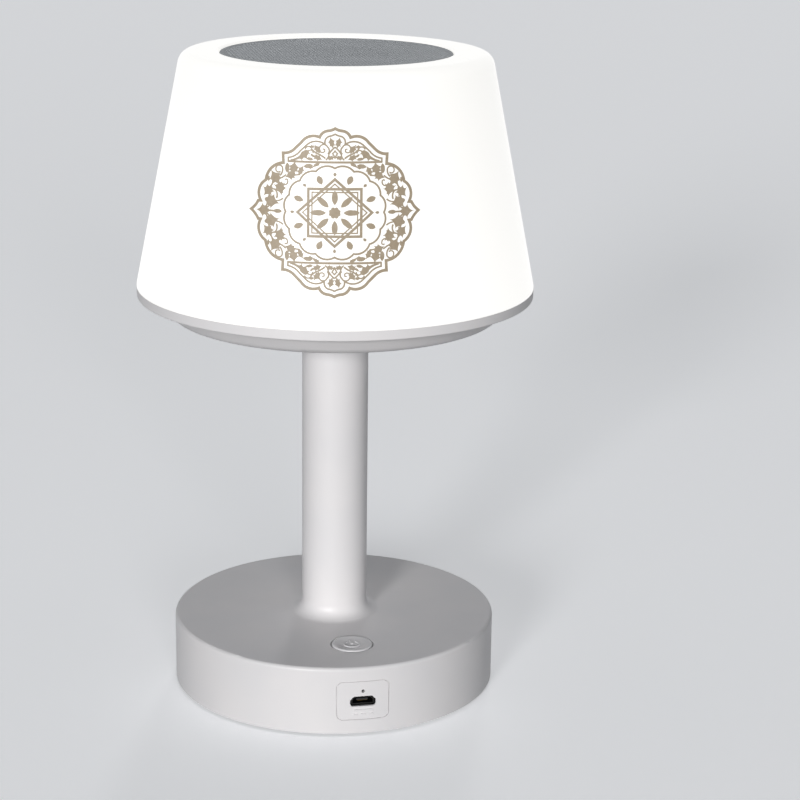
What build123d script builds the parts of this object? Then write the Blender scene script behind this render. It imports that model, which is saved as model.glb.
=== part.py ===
"""A bedside lamp with a speaker in its head, as an assembly of its separate pieces.

A weighted round base holds the battery, the circuit board, the push button and the charging
socket. A threaded tube inside the post ties the base to the head. The head is a dished housing
with an opal shade on it. The speaker hangs under the shade's top, behind a perforated grille.

Millimetres, +Z up, origin on the table under the post's axis. The charging socket and the
button are on the -Y side.
"""

import os
from math import radians, sqrt, tan

from build123d import *

os.makedirs("parts", exist_ok=True)

# ---------------------------------------------------------------- driving dimensions
# Base shell
base_radius = 55.0
base_height = 23.0
base_wall = 2.2
base_top = 2.4
base_edge = 1.2
collar_height = 3.0

# Bottom cover and its pad
plate_thickness = 2.0
plate_gap = 0.2
plate_screw_inset = 10.3
pad_stand = 0.8
pad_sink = 0.4
pad_inset = 6.8
pad_gap = 0.15

# Counterweight
weight_thickness = 2.5
weight_radius = 36.0
weight_gap = 2.0
weight_peg_span = 44.0
weight_peg_radius = 2.0
peg_head = 0.9
peg_play = 0.1

# Battery, a standard 18650 cell, lying across the back
cell_radius = 9.15
cell_length = 65.0
cell_inset = 26.8
cell_lift = 0.15
cell_cap = 1.0
cell_cap_radius = 2.8
cell_crimp = 1.8
cradle_span = 40.0
cradle_width = 22.0
cradle_height = 6.0
cradle_rib = 3.0
tab_thickness = 0.3
tab_height = 8.0
wire_radius = 0.8
wire_side = 40.5
wire_pad_x = 17.0
wire_pad_inset = 2.5
wire_straight = 12.0

# Circuit board
board_thickness = 1.6
board_width = 56.0
board_depth = 38.1
board_gap = 1.2
board_hole_span = 44.0
board_hole_depth = 19.0
board_hole_inset = 22.3
capacitor_radius = 3.1
capacitor_height = 7.0
capacitor_sides = (-16.0, 15.0)
capacitor_inset = 19.8
crystal_radius = 1.0
crystal_length = 6.0
crystal_x = 4.5
crystal_inset = 25.8

# Charging socket: the opening in the wall, and the standard metal shell behind it
port_height = 12.0
port_width = 8.5
port_opening = 3.5
port_chamfer = 1.4
socket_width = 7.5
socket_height = 2.7
socket_chamfer = 1.1
socket_depth = 5.6
socket_wall = 0.3
socket_setback = 0.6
tongue_thickness = 0.6
tongue_width = 3.8
tongue_setback = 0.8
tongue_block = 1.5
contact_count = 5
contact_thickness = 0.1
contact_pitch = 0.65
contact_width = 0.35
panel_width = 17.6
panel_height = 13.6
panel_centre = 12.3
panel_corner = 2.2
panel_depth = 0.5
pinhole_height = 15.5
pinhole_radius = 0.6
guide_leg_inset = 7.8
guide_leg = 2.0
charge_led_size = 1.6
charge_led_height = 0.6

# Push button and the switch under it
button_inset = 20.65
button_radius = 6.8
button_gap = 0.3
button_proud = 0.3
button_edge = 0.5
button_dish = 5.8
button_dish_depth = 0.55
button_hole_edge = 0.3
button_flange = 8.2
button_flange_thickness = 1.0
button_flange_gap = 0.15
button_stem = 2.0
button_play = 0.05
guide_gap = 0.25
guide_wall = 1.2
guide_height = 3.0
switch_size = 6.0
switch_body_height = 3.5
switch_height = 5.0
plunger_radius = 1.75
plunger_depth = 1.0
plunger_gap = 0.05
plunger_room = 0.5

# Post
post_radius = 11.15
post_wall = 2.2
post_length = 105.2
foot_radius = 14.2
foot_height = 4.3
foot_lip = 0.3
collar_gap = 0.2

# Threaded tube with its nuts and washers
tie_radius = 5.0
tie_bore = 4.1
tie_gap = 0.15
tie_end = 0.8
nut_across_flats = 14.0
nut_thickness = 4.0
thread_gap = 0.05
washer_radius = 9.0
washer_thickness = 1.0

# Leads
harness_radius = 1.75
harness_offset = -1.3
led_lead_radius = 0.9
led_lead_offset = 2.4
lead_drop = 1.4
plug_depth = 5.0
plug_height = 3.0
harness_plug = 9.0
harness_leave = 13.0
harness_enter = 17.0
led_lead_plug = 5.0
led_lead_plug_x = 8.0
led_lead_straight = 4.5
led_lead_arch = 8.8

# Head housing
dish_radius = 54.0
dish_corner = 5.0
dish_top_radius = 60.0
dish_height = 7.2
dish_floor = 2.5
rim_wall = 2.2
rim_height = 3.3
rim_edge = 0.5
lip_height = 3.0
lip_thickness = 1.4
lip_gap = 0.5
bead = 0.3
rib_count = 6
rib_height = 2.5
rib_width = 1.6
rib_start = 12.0

# Light board
led_stand = 5.5
led_stand_reach = 30.0
led_board_inner = 16.0
led_board_radius = 44.0
led_board_thickness = 1.2
led_count = 24
led_reach = 38.0
led_length = 3.5
led_width = 2.8
led_height = 0.8
led_plug_reach = 22.0

# Shade
shade_radius = 66.0
shade_height = 77.3
shade_top_radius = 50.7
shade_wall = 2.0
shade_top = 2.2
shade_shoulder = 4.3
shade_foot = 0.7
shade_mouth = 38.3
shade_mouth_edge = 0.8

# Speaker baffle and cup
baffle_radius = 40.0
baffle_bore = 36.0
ledge_bore = 28.8
ledge_thickness = 2.2
ledge_drop = 6.6
flange_radius = 46.5
flange_thickness = 2.2
baffle_screw_reach = 43.5
baffle_boss = 6.0
cup_radius = 38.0
cup_wall = 2.0
cup_depth = 35.8
cup_corner = 3.0
spigot_wall = 1.2
spigot_height = 2.5
spigot_gap = 0.2
grommet_radius = 3.2
grommet_groove = 0.6
grommet_lip = 1.2

# Speaker
speaker_radius = 34.5
speaker_plate = 1.2
speaker_screw_reach = 32.0
gasket_thickness = 0.8
basket_mouth = 28.2
basket_neck = 22.0
basket_depth = 20.0
basket_bore = 12.0
basket_window = 26.0
basket_window_depth = 20.0
top_plate_radius = 20.0
top_plate_thickness = 3.0
gap_radius = 10.6
magnet_radius = 22.5
magnet_bore = 12.5
magnet_thickness = 8.0
yoke_plate = 3.0
pole_radius = 9.3
pole_vent = 2.5
coil_radius = 9.6
former_wall = 0.15
winding_wall = 0.5
winding_height = 6.0
former_top = 9.0
cone_radius = 23.3
cone_thickness = 0.5
cone_rim = 1.2
cone_neck = 1.4
dust_cap_radius = 11.0
dust_cap_rise = 3.2
surround_lip = 1.4
surround_thickness = 0.5
spider_radius = 20.6
spider_height = 3.2
spider_wave = 0.8
spider_pleats = 4
spider_thickness = 0.4
spider_land = 1.3
terminal_width = 12.0
terminal_height = 8.0
terminal_thickness = 1.1

# Grille
grille_radius = 38.0
grille_thickness = 0.8
grille_sink = 0.5
grille_hole = 3.4
grille_pitch = 4.8
grille_margin = 1.6
grille_skirt = 1.3
cloth_thickness = 0.3

# Screws: shank radius, shank length, head radius, head height
plate_screw = (1.3, 9.0, 2.4, 1.5)
board_screw = (1.0, 6.0, 1.9, 1.3)
led_screw = (1.0, 4.5, 1.9, 1.2)
baffle_screw = (1.3, 7.0, 2.5, 1.6)
speaker_screw = (1.3, 6.5, 1.9, 1.4)
head_rim = 0.5
screw_gap = 0.05
screw_room = 0.5
through_gap = 0.15
sink_gap = 0.3
sink_angle = 82
boss_wall = 1.9
recess_length = 0.8
recess_width = 0.5
recess_depth = 0.6

# ---------------------------------------------------------------- heights from the table up
shell_low = pad_stand
shell_high = shell_low + base_height
ceiling = shell_high - base_top
plate_high = shell_low + plate_thickness
cell_axis = plate_high + cell_lift + cell_radius
weight_high = plate_high + weight_thickness
board_high = port_height - socket_height / 2
board_low = board_high - board_thickness
lead_axis = board_low - lead_drop
post_top = shell_high + post_length
floor_high = post_top + dish_floor
seat = post_top + dish_height + rim_height
flange_low = post_top + dish_height
led_board_low = floor_high + led_stand
led_board_high = led_board_low + led_board_thickness
shade_high = seat + shade_height
shade_under = shade_high - shade_top
grille_high = shade_high - grille_sink
grille_low = grille_high - grille_thickness
ledge_high = shade_under - ledge_drop
ledge_low = ledge_high - ledge_thickness
flange_high = shade_under - baffle_boss
cup_low = ledge_low - cup_depth
speaker_low = ledge_high + gasket_thickness
speaker_high = speaker_low + speaker_plate
basket_low = speaker_high - basket_depth
magnet_high = basket_low - top_plate_thickness
yoke_high = magnet_high - magnet_thickness

# ---------------------------------------------------------------- places in the base
# Each inset is measured inwards from the shell's wall, so the layout follows the base's size.
shell_bore = base_radius - base_wall
collar_radius = post_radius - post_wall - collar_gap
pad_radius = shell_bore - pad_inset
plate_screw_reach = shell_bore - plate_screw_inset
cell_reach = shell_bore - cell_inset
weight_back = cell_reach - cradle_width / 2 - weight_gap
board_back = board_depth + board_gap - shell_bore
board_hole_reach = board_hole_inset - shell_bore
capacitor_places = [(x, capacitor_inset - shell_bore) for x in capacitor_sides]
crystal_place = (crystal_x, crystal_inset - shell_bore)
wire_pad_y = board_back - wire_pad_inset
guide_leg_reach = shell_bore - guide_leg_inset
button_reach = base_radius - button_inset


# ---------------------------------------------------------------- shared shapes
def disc(radius, low, high, mode=Mode.ADD):
    """A round slab between two heights."""
    with BuildSketch(Plane.XY.offset(low)) as outline:
        Circle(radius)
    extrude(outline.sketch, amount=high - low, mode=mode)


def ring(outer, inner, low, high, mode=Mode.ADD):
    """A round slab with a round hole."""
    with BuildSketch(Plane.XY.offset(low)) as outline:
        Circle(outer)
        Circle(inner, mode=Mode.SUBTRACT)
    extrude(outline.sketch, amount=high - low, mode=mode)


def upright(x=0, y=0):
    """The plane of a turned outline: its own X is the radius and its own Y is the height."""
    return Plane(origin=(x, y, 0), x_dir=(1, 0, 0), z_dir=(0, -1, 0))


def turned(*points, centre=(0, 0), mode=Mode.ADD):
    """A closed outline of (radius, height) points, turned about an upright axis."""
    with BuildSketch(upright(*centre)) as outline:
        with BuildLine():
            Polyline(*points, close=True)
        make_face()
    revolve(outline.sketch, axis=Axis((centre[0], centre[1], 0), (0, 0, 1)), mode=mode)


def circles_at(radius, places, low, high, mode=Mode.ADD):
    """The same round pin or hole at several places."""
    with BuildSketch(Plane.XY.offset(low)) as outline:
        with Locations(*places):
            Circle(radius)
    extrude(outline.sketch, amount=high - low, mode=mode)


def on_circle(reach, count, start):
    """Places evenly spaced round the axis, as (x, y)."""
    first = Vector(reach, 0)
    return [tuple(first.rotate(Axis.Z, start + 360 * i / count))[:2] for i in range(count)]


def make_screw(size, countersunk=False):
    """A screw with its head above z = 0 and its shank below, with a cross recess."""
    shank_radius, shank_length, head_radius, head_height = size
    if countersunk:
        cone_height = (head_radius - shank_radius) / tan(radians(sink_angle / 2))
        head = [(head_radius, cone_height), (head_radius, head_height)]
    else:
        head = [(head_radius, 0), (head_radius, head_rim), (head_radius - head_rim, head_height)]
    with BuildPart() as screw:
        turned(
            (0, -shank_length),
            (shank_radius / 2, -shank_length),
            (shank_radius, shank_radius - shank_length),
            (shank_radius, 0),
            *head,
            (0, head_height),
        )
        with BuildSketch(Plane.XY.offset(head_height)):
            Rectangle(2 * recess_length, recess_width)
            Rectangle(recess_width, 2 * recess_length)
        extrude(amount=-recess_depth, mode=Mode.SUBTRACT)
    return screw.part


def place(shape, places, height, upside_down=False):
    """Copies of one finished shape at several places, at one height."""
    turn = (180, 0, 0) if upside_down else (0, 0, 0)
    with Locations(*[Location((x, y, height), turn) for x, y in places]):
        add(shape)


def bend_radii(points, share=0.45):
    """The largest fillet that each corner of a route leaves room for."""
    result = []
    for before, corner, after in zip(points, points[1:], points[2:]):
        first = Vector(*corner) - Vector(*before)
        second = Vector(*after) - Vector(*corner)
        half_turn = radians(first.get_angle(second) / 2)
        result.append(share * min(first.length, second.length) / tan(half_turn))
    return result


def lead(points, radius):
    """A round lead along straight runs joined by tangent arcs."""
    bends = bend_radii(points)
    with BuildLine() as route:
        FilletPolyline(*points, radius=bends)
    with BuildSketch(Plane(origin=route.line @ 0, z_dir=route.line % 0)) as section:
        Circle(radius)
    sweep(section.sketch, path=route.line)
    print("lead bends", [round(bend, 1) for bend in bends])


def port_outline(width, height, chamfer):
    """The charging port's outline: wide below, with its two upper corners cut off."""
    Polygon(
        (-width / 2, -height / 2),
        (width / 2, -height / 2),
        (width / 2, height / 2 - chamfer),
        (width / 2 - chamfer, height / 2),
        (chamfer - width / 2, height / 2),
        (-width / 2, height / 2 - chamfer),
        align=None,
    )


def circle_edges(part, radius, height):
    """The round edges of one radius at one height."""

    def matches(edge):
        return abs(edge.radius - radius) < 1e-4 and abs(edge.arc_center.Z - height) < 1e-4

    return part.edges().filter_by(GeomType.CIRCLE).filter_by(matches)


def block(x, y, low, size_x, size_y, height, mode=Mode.ADD):
    """A box that stands on the height `low`, centred at (x, y)."""
    with BuildSketch(Plane((x, y, low))) as outline:
        Rectangle(size_x, size_y)
    extrude(outline.sketch, amount=height, mode=mode)


plate_screw_places = on_circle(plate_screw_reach, 3, 90)
board_screw_places = [
    (side * board_hole_span / 2, board_hole_reach + row * board_hole_depth / 2)
    for side in (-1, 1)
    for row in (-1, 1)
]
peg_places = [(-weight_peg_span / 2, 0), (weight_peg_span / 2, 0)]
button_place = (0, -button_reach)

# ---------------------------------------------------------------- base shell
# The port sits in a shallow panel that follows the round wall.
panel_plane = Plane(origin=(0, -base_radius - 1, panel_centre), x_dir=(1, 0, 0), z_dir=(0, -1, 0))
with BuildPart() as panel_cutter:
    with BuildSketch(panel_plane):
        RectangleRounded(panel_width, panel_height, panel_corner)
    extrude(amount=-base_radius / 2)
    disc(base_radius - panel_depth, shell_low - 1, shell_high + 1, mode=Mode.SUBTRACT)


def port_plane(reach):
    """An upright plane across the charging port, at a distance from the axis."""
    return Plane(origin=(0, -reach, port_height), x_dir=(1, 0, 0), z_dir=(0, -1, 0))


with BuildPart() as base_shell:
    disc(base_radius, shell_low, shell_high)
    fillet(circle_edges(base_shell, base_radius, shell_high), base_edge)
    disc(shell_bore, shell_low, ceiling, mode=Mode.SUBTRACT)
    # The collar keeps the post central, and the threaded tube runs through it.
    disc(collar_radius, shell_high, shell_high + collar_height)
    disc(tie_radius + tie_gap, ceiling, shell_high + collar_height, mode=Mode.SUBTRACT)
    # Bosses for the bottom cover's and the board's screws hang from the ceiling.
    circles_at(plate_screw[0] + boss_wall, plate_screw_places, plate_high, ceiling)
    circles_at(
        plate_screw[0] + screw_gap,
        plate_screw_places,
        plate_high,
        plate_high + plate_screw[1] + screw_room,
        mode=Mode.SUBTRACT,
    )
    circles_at(board_screw[0] + boss_wall, board_screw_places, board_high, ceiling)
    circles_at(
        board_screw[0] + screw_gap,
        board_screw_places,
        board_high,
        board_low + board_screw[1] + screw_room,
        mode=Mode.SUBTRACT,
    )
    # The button's hole, with a collar below it that guides the flange.
    guide_bore = button_flange + guide_gap
    circles_at(guide_bore + guide_wall, [button_place], ceiling - guide_height, ceiling)
    circles_at(guide_bore, [button_place], ceiling - guide_height, ceiling, mode=Mode.SUBTRACT)
    button_hole = button_radius + button_gap
    circles_at(button_hole, [button_place], ceiling, shell_high, mode=Mode.SUBTRACT)
    fillet(circle_edges(base_shell, button_hole, shell_high), button_hole_edge)
    # The panel, the port's opening and the pin hole for the charging light.
    add(panel_cutter.part, mode=Mode.SUBTRACT)
    with BuildSketch(port_plane(base_radius + 1)):
        port_outline(port_width, port_opening, port_chamfer)
        with Locations((0, pinhole_height - port_height)):
            Circle(pinhole_radius)
    extrude(amount=-(base_wall + 2), mode=Mode.SUBTRACT)
base_shell.part.label = "base_shell"
export_step(base_shell.part, "parts/base_shell.step")

# ---------------------------------------------------------------- bottom cover, pad and weight
cell_plane = Plane(origin=(-cell_length, cell_reach, cell_axis), x_dir=(0, 1, 0), z_dir=(1, 0, 0))
sink_floor = shell_low + pad_sink
with BuildPart() as base_plate:
    disc(shell_bore - plate_gap, shell_low, plate_high)
    # Two saddles carry the battery.
    for side in (-1, 1):
        block(side * cradle_span / 2, cell_reach, plate_high, cradle_rib, cradle_width, cradle_height)
    with BuildSketch(cell_plane):
        Circle(cell_radius + cell_lift / 2)
    extrude(amount=2 * cell_length, mode=Mode.SUBTRACT)
    # Pegs through the weight, with heads melted over it.
    circles_at(weight_peg_radius, peg_places, plate_high, weight_high + peg_head)
    circles_at(weight_peg_radius + peg_head, peg_places, weight_high + peg_play, weight_high + peg_head)
    disc(pad_radius + pad_gap, shell_low, sink_floor, mode=Mode.SUBTRACT)
    with Locations(*[Location((x, y, sink_floor), (180, 0, 0)) for x, y in plate_screw_places]):
        CounterSinkHole(
            radius=plate_screw[0] + through_gap,
            counter_sink_radius=plate_screw[2] + sink_gap,
            depth=plate_thickness,
            counter_sink_angle=sink_angle,
        )
base_plate.part.label = "base_plate"
export_step(base_plate.part, "parts/base_plate.step")

plate_screw_shape = make_screw(plate_screw, countersunk=True)
with BuildPart() as base_plate_screws:
    place(plate_screw_shape, plate_screw_places, sink_floor + plate_screw[3], upside_down=True)
base_plate_screws.part.label = "base_plate_screws"
export_step(base_plate_screws.part, "parts/base_plate_screws.step")

with BuildPart() as foot_pad:
    disc(pad_radius, 0, sink_floor)
    chamfer(circle_edges(foot_pad, pad_radius, 0), pad_sink)
foot_pad.part.label = "foot_pad"
export_step(foot_pad.part, "parts/foot_pad.step")

with BuildPart() as counterweight:
    with BuildSketch(Plane.XY.offset(plate_high)):
        Circle(weight_radius)
        with Locations((0, weight_back + weight_radius)):
            Rectangle(2 * weight_radius, 2 * weight_radius, mode=Mode.SUBTRACT)
        with Locations(*peg_places):
            Circle(weight_peg_radius + peg_play, mode=Mode.SUBTRACT)
    extrude(amount=weight_thickness)
counterweight.part.label = "counterweight"
export_step(counterweight.part, "parts/counterweight.step")

# ---------------------------------------------------------------- battery
# The cell is turned upright and then laid along X, with its positive cap at the right.
cell_body = cell_length - cell_cap
with BuildPart() as cell_upright:
    turned(
        (0, 0),
        (cell_radius, 0),
        (cell_radius, cell_body - 2 * cell_crimp),
        (cell_radius - cell_crimp / 3, cell_body - 1.5 * cell_crimp),
        (cell_radius, cell_body - cell_crimp),
        (cell_radius, cell_body),
        (cell_cap_radius, cell_body),
        (cell_cap_radius, cell_length),
        (0, cell_length),
    )

with BuildPart() as battery_cell:
    with Locations(Location((-cell_length / 2, cell_reach, cell_axis), (0, 90, 0))):
        add(cell_upright.part)
battery_cell.part.label = "battery_cell"
export_step(battery_cell.part, "parts/battery_cell.step")

tab_x = (cell_length + tab_thickness) / 2
with BuildPart() as battery_tabs:
    for side in (-1, 1):
        block(side * tab_x, cell_reach, cell_axis - tab_height / 2, tab_thickness, tab_height, tab_height)
battery_tabs.part.label = "battery_tabs"
export_step(battery_tabs.part, "parts/battery_tabs.step")

wire_height = board_high + wire_radius
wire_start = tab_x + tab_thickness / 2
with BuildPart() as battery_wires:
    lead(
        [
            (wire_start, cell_reach, wire_height),
            (wire_side, cell_reach, wire_height),
            (wire_side, 0, wire_height),
            (wire_pad_x, wire_pad_y + wire_straight, wire_height),
            (wire_pad_x, wire_pad_y, wire_height),
        ],
        wire_radius,
    )
    mirror(about=Plane.YZ)
battery_wires.part.label = "battery_wires"
export_step(battery_wires.part, "parts/battery_wires.step")

# ---------------------------------------------------------------- circuit board
with BuildPart() as main_board:
    with BuildSketch(Plane.XY.offset(board_low)):
        Circle(shell_bore - board_gap)
        with Locations((0, board_back - base_radius)):
            Rectangle(board_width, 2 * base_radius, mode=Mode.INTERSECT)
        with Locations(*board_screw_places):
            Circle(board_screw[0] + through_gap, mode=Mode.SUBTRACT)
    extrude(amount=board_thickness)
main_board.part.label = "main_board"
export_step(main_board.part, "parts/main_board.step")

# Chip packages: centre x, inset from the wall, length, width, height.
chips = [
    (-9.0, 29.8, 9.0, 9.0, 1.2),
    (8.0, 30.8, 5.0, 4.0, 1.5),
    (-14.0, 9.8, 10.0, 4.0, 1.5),
    (11.0, 9.8, 3.0, 3.0, 1.0),
]
with BuildPart() as board_chips:
    for x, inset, length, width, height in chips:
        block(x, inset - shell_bore, board_high, length, width, height)
board_chips.part.label = "board_chips"
export_step(board_chips.part, "parts/board_chips.step")

with BuildPart() as board_capacitors:
    circles_at(capacitor_radius, capacitor_places, board_high, board_high + capacitor_height)
board_capacitors.part.label = "board_capacitors"
export_step(board_capacitors.part, "parts/board_capacitors.step")

crystal_plane = Plane(origin=(*crystal_place, board_high + crystal_radius), z_dir=(1, 0, 0))
with BuildPart() as clock_crystal:
    with BuildSketch(crystal_plane):
        Circle(crystal_radius)
    extrude(amount=crystal_length)
clock_crystal.part.label = "clock_crystal"
export_step(clock_crystal.part, "parts/clock_crystal.step")

board_screw_shape = make_screw(board_screw)
with BuildPart() as board_screws:
    place(board_screw_shape, board_screw_places, board_low, upside_down=True)
board_screws.part.label = "board_screws"
export_step(board_screws.part, "parts/board_screws.step")

plug_y = board_back - plug_depth / 2
with BuildPart() as board_plugs:
    block(harness_offset, plug_y, board_low - plug_height, harness_plug, plug_depth, plug_height)
    block(led_lead_plug_x, plug_y, board_low - plug_height, led_lead_plug, plug_depth, plug_height)
board_plugs.part.label = "board_plugs"
export_step(board_plugs.part, "parts/board_plugs.step")

# ---------------------------------------------------------------- charging socket and light
socket_front = base_radius - panel_depth - socket_setback
with BuildPart() as usb_shell:
    with BuildSketch(port_plane(socket_front)):
        port_outline(socket_width, socket_height, socket_chamfer)
        offset(amount=-socket_wall, kind=Kind.INTERSECTION, mode=Mode.SUBTRACT)
    extrude(amount=-socket_depth)
usb_shell.part.label = "usb_shell"
export_step(usb_shell.part, "parts/usb_shell.step")

tongue_front = socket_front - tongue_setback
block_front = socket_front - socket_depth + tongue_block
with BuildPart() as usb_tongue:
    with BuildSketch(port_plane(block_front)):
        port_outline(
            socket_width - 2 * socket_wall - thread_gap,
            socket_height - 2 * socket_wall - thread_gap,
            socket_chamfer - socket_wall / 2,
        )
    extrude(amount=-tongue_block)
    with BuildSketch(port_plane(tongue_front)):
        Rectangle(tongue_width, tongue_thickness)
    extrude(amount=-(tongue_front - block_front))
usb_tongue.part.label = "usb_tongue"
export_step(usb_tongue.part, "parts/usb_tongue.step")

with BuildPart() as usb_contacts:
    with BuildSketch(port_plane(tongue_front)):
        for index in range(contact_count):
            x = (index - (contact_count - 1) / 2) * contact_pitch
            with Locations((x, -(tongue_thickness + contact_thickness) / 2)):
                Rectangle(contact_width, contact_thickness)
    extrude(amount=-(tongue_front - block_front))
usb_contacts.part.label = "usb_contacts"
export_step(usb_contacts.part, "parts/usb_contacts.step")

led_top = board_high + charge_led_height
with BuildPart() as charge_led:
    block(0, -guide_leg_reach, board_high, charge_led_size, charge_led_size, charge_led_height)
charge_led.part.label = "charge_led"
export_step(charge_led.part, "parts/charge_led.step")

guide_rod = pinhole_radius - screw_gap
guide_tip = base_radius - panel_depth - panel_depth
with BuildPart() as light_guide:
    block(
        0,
        -guide_leg_reach,
        led_top + screw_gap,
        guide_leg,
        guide_leg,
        pinhole_height + guide_rod - led_top - screw_gap,
    )
    with BuildSketch(port_plane(guide_tip)):
        with Locations((0, pinhole_height - port_height)):
            Circle(guide_rod)
    extrude(amount=-(guide_tip - guide_leg_reach))
light_guide.part.label = "light_guide"
export_step(light_guide.part, "parts/light_guide.step")

# ---------------------------------------------------------------- push button and switch
plunger_top = board_high + switch_height
stem_low = plunger_top + button_play
button_flange_high = ceiling - button_flange_gap
button_flange_low = button_flange_high - button_flange_thickness
cap_high = shell_high + button_proud
dish_middle = cap_high - button_dish_depth
with BuildPart() as power_button:
    with BuildSketch(upright(*button_place)):
        with BuildLine():
            Polyline(
                (0, dish_middle),
                (0, stem_low),
                (button_stem, stem_low),
                (button_stem, button_flange_low),
                (button_flange, button_flange_low),
                (button_flange, button_flange_high),
                (button_radius, button_flange_high),
                (button_radius, cap_high),
                (button_dish, cap_high),
            )
            # The cap is dished for the fingertip.
            TangentArc((0, dish_middle), (button_dish, cap_high), tangent=(1, 0))
        make_face()
    revolve(axis=Axis((*button_place, 0), (0, 0, 1)))
    fillet(circle_edges(power_button, button_radius, cap_high), button_edge)
power_button.part.label = "power_button"
export_step(power_button.part, "parts/power_button.step")

switch_top = board_high + switch_body_height
plunger_low = switch_top - plunger_depth
with BuildPart() as switch_body:
    block(*button_place, board_high, switch_size, switch_size, switch_body_height)
    circles_at(
        plunger_radius + plunger_gap,
        [button_place],
        plunger_low - plunger_room,
        switch_top,
        mode=Mode.SUBTRACT,
    )
switch_body.part.label = "switch_body"
export_step(switch_body.part, "parts/switch_body.step")

with BuildPart() as switch_plunger:
    circles_at(plunger_radius, [button_place], plunger_low, plunger_top)
switch_plunger.part.label = "switch_plunger"
export_step(switch_plunger.part, "parts/switch_plunger.step")

# ---------------------------------------------------------------- post and threaded tube
post_bore = post_radius - post_wall
flare_top = shell_high + foot_height
flare_low = shell_high + foot_lip
with BuildPart() as post:
    with BuildSketch(upright()):
        with BuildLine():
            Line((foot_radius, flare_low), (foot_radius, shell_high))
            Line((foot_radius, shell_high), (post_bore, shell_high))
            Line((post_bore, shell_high), (post_bore, post_top))
            Line((post_bore, post_top), (post_radius, post_top))
            Line((post_radius, post_top), (post_radius, flare_top))
            TangentArc((post_radius, flare_top), (foot_radius, flare_low), tangent=(0, -1))
        make_face()
    revolve(axis=Axis.Z)
post.part.label = "post"
export_step(post.part, "parts/post.step")

base_nut_high = ceiling - washer_thickness
head_nut_low = floor_high + washer_thickness
with BuildPart() as tie_tube:
    tie_low = base_nut_high - nut_thickness - tie_end
    tie_high = head_nut_low + nut_thickness + tie_end
    ring(tie_radius, tie_bore, tie_low, tie_high)
tie_tube.part.label = "tie_tube"
export_step(tie_tube.part, "parts/tie_tube.step")


def nut(low):
    """A thin hexagon nut on the threaded tube."""
    with BuildSketch(Plane.XY.offset(low)) as outline:
        RegularPolygon(nut_across_flats / 2, 6, major_radius=False)
        Circle(tie_radius + thread_gap, mode=Mode.SUBTRACT)
    extrude(outline.sketch, amount=nut_thickness)


with BuildPart() as base_nut:
    nut(base_nut_high - nut_thickness)
base_nut.part.label = "base_nut"
export_step(base_nut.part, "parts/base_nut.step")

with BuildPart() as base_washer:
    ring(washer_radius, tie_radius + tie_gap, base_nut_high, ceiling)
base_washer.part.label = "base_washer"
export_step(base_washer.part, "parts/base_washer.step")

with BuildPart() as head_nut:
    nut(head_nut_low)
head_nut.part.label = "head_nut"
export_step(head_nut.part, "parts/head_nut.step")

with BuildPart() as head_washer:
    ring(washer_radius, tie_radius + tie_gap, floor_high, head_nut_low)
head_washer.part.label = "head_washer"
export_step(head_washer.part, "parts/head_washer.step")

# ---------------------------------------------------------------- head housing
dish_slope = (dish_top_radius - dish_radius) / dish_height
dish_wall_across = rim_wall * sqrt(1 + dish_slope**2)


def dish_inside(height):
    """The dish's inside radius at a height."""
    return dish_radius + dish_slope * (height - post_top) - dish_wall_across


def shade_outside(height):
    """The shade's outside radius at a height, above its short upright foot."""
    lean = (shade_radius - shade_top_radius) / (shade_height - shade_foot)
    return shade_radius - lean * max(height - seat - shade_foot, 0)


rim_floor = flange_low + rim_wall
lip_high = seat + lip_height
lip_outside = shade_outside(lip_high) - shade_wall - lip_gap
lip_inside = lip_outside - lip_thickness
bead_middle = seat + lip_height / 2
led_stand_places = on_circle(led_stand_reach, 4, 45)
with BuildPart() as head_housing:
    turned(
        (tie_radius + tie_gap, post_top - collar_height),
        (collar_radius, post_top - collar_height),
        (collar_radius, post_top),
        (dish_radius, post_top),
        (dish_top_radius, flange_low),
        (shade_radius, flange_low),
        (shade_radius, seat),
        (lip_outside, seat),
        (lip_outside, bead_middle - bead),
        (lip_outside + bead, bead_middle),
        (lip_outside, bead_middle + bead),
        (lip_outside, lip_high),
        (lip_inside, lip_high),
        (lip_inside, rim_floor),
        (dish_inside(rim_floor), rim_floor),
        (dish_inside(floor_high), floor_high),
        (tie_radius + tie_gap, floor_high),
    )
    fillet(circle_edges(head_housing, dish_radius, post_top), dish_corner)
    fillet(circle_edges(head_housing, shade_radius, flange_low), rim_edge)
    # Ribs stiffen the floor between the nut and the wall.
    rib_length = dish_inside(floor_high) - rib_start
    with BuildSketch(Plane.XY.offset(floor_high)):
        with PolarLocations(rib_start + rib_length / 2, rib_count):
            Rectangle(rib_length, rib_width)
    extrude(amount=rib_height)
    # Stands for the light board.
    circles_at(led_screw[0] + boss_wall, led_stand_places, floor_high, led_board_low)
    circles_at(
        led_screw[0] + screw_gap,
        led_stand_places,
        led_board_high - led_screw[1] - screw_room,
        led_board_low,
        mode=Mode.SUBTRACT,
    )
head_housing.part.label = "head_housing"
export_step(head_housing.part, "parts/head_housing.step")

# ---------------------------------------------------------------- light board
with BuildPart() as led_board:
    ring(led_board_radius, led_board_inner, led_board_low, led_board_high)
    led_hole = led_screw[0] + through_gap
    circles_at(led_hole, led_stand_places, led_board_low, led_board_high, mode=Mode.SUBTRACT)
led_board.part.label = "led_board"
export_step(led_board.part, "parts/led_board.step")

with BuildPart() as leds:
    with BuildSketch(Plane.XY.offset(led_board_high)):
        with PolarLocations(led_reach, led_count):
            Rectangle(led_length, led_width)
    extrude(amount=led_height)
leds.part.label = "leds"
export_step(leds.part, "parts/leds.step")

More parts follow.
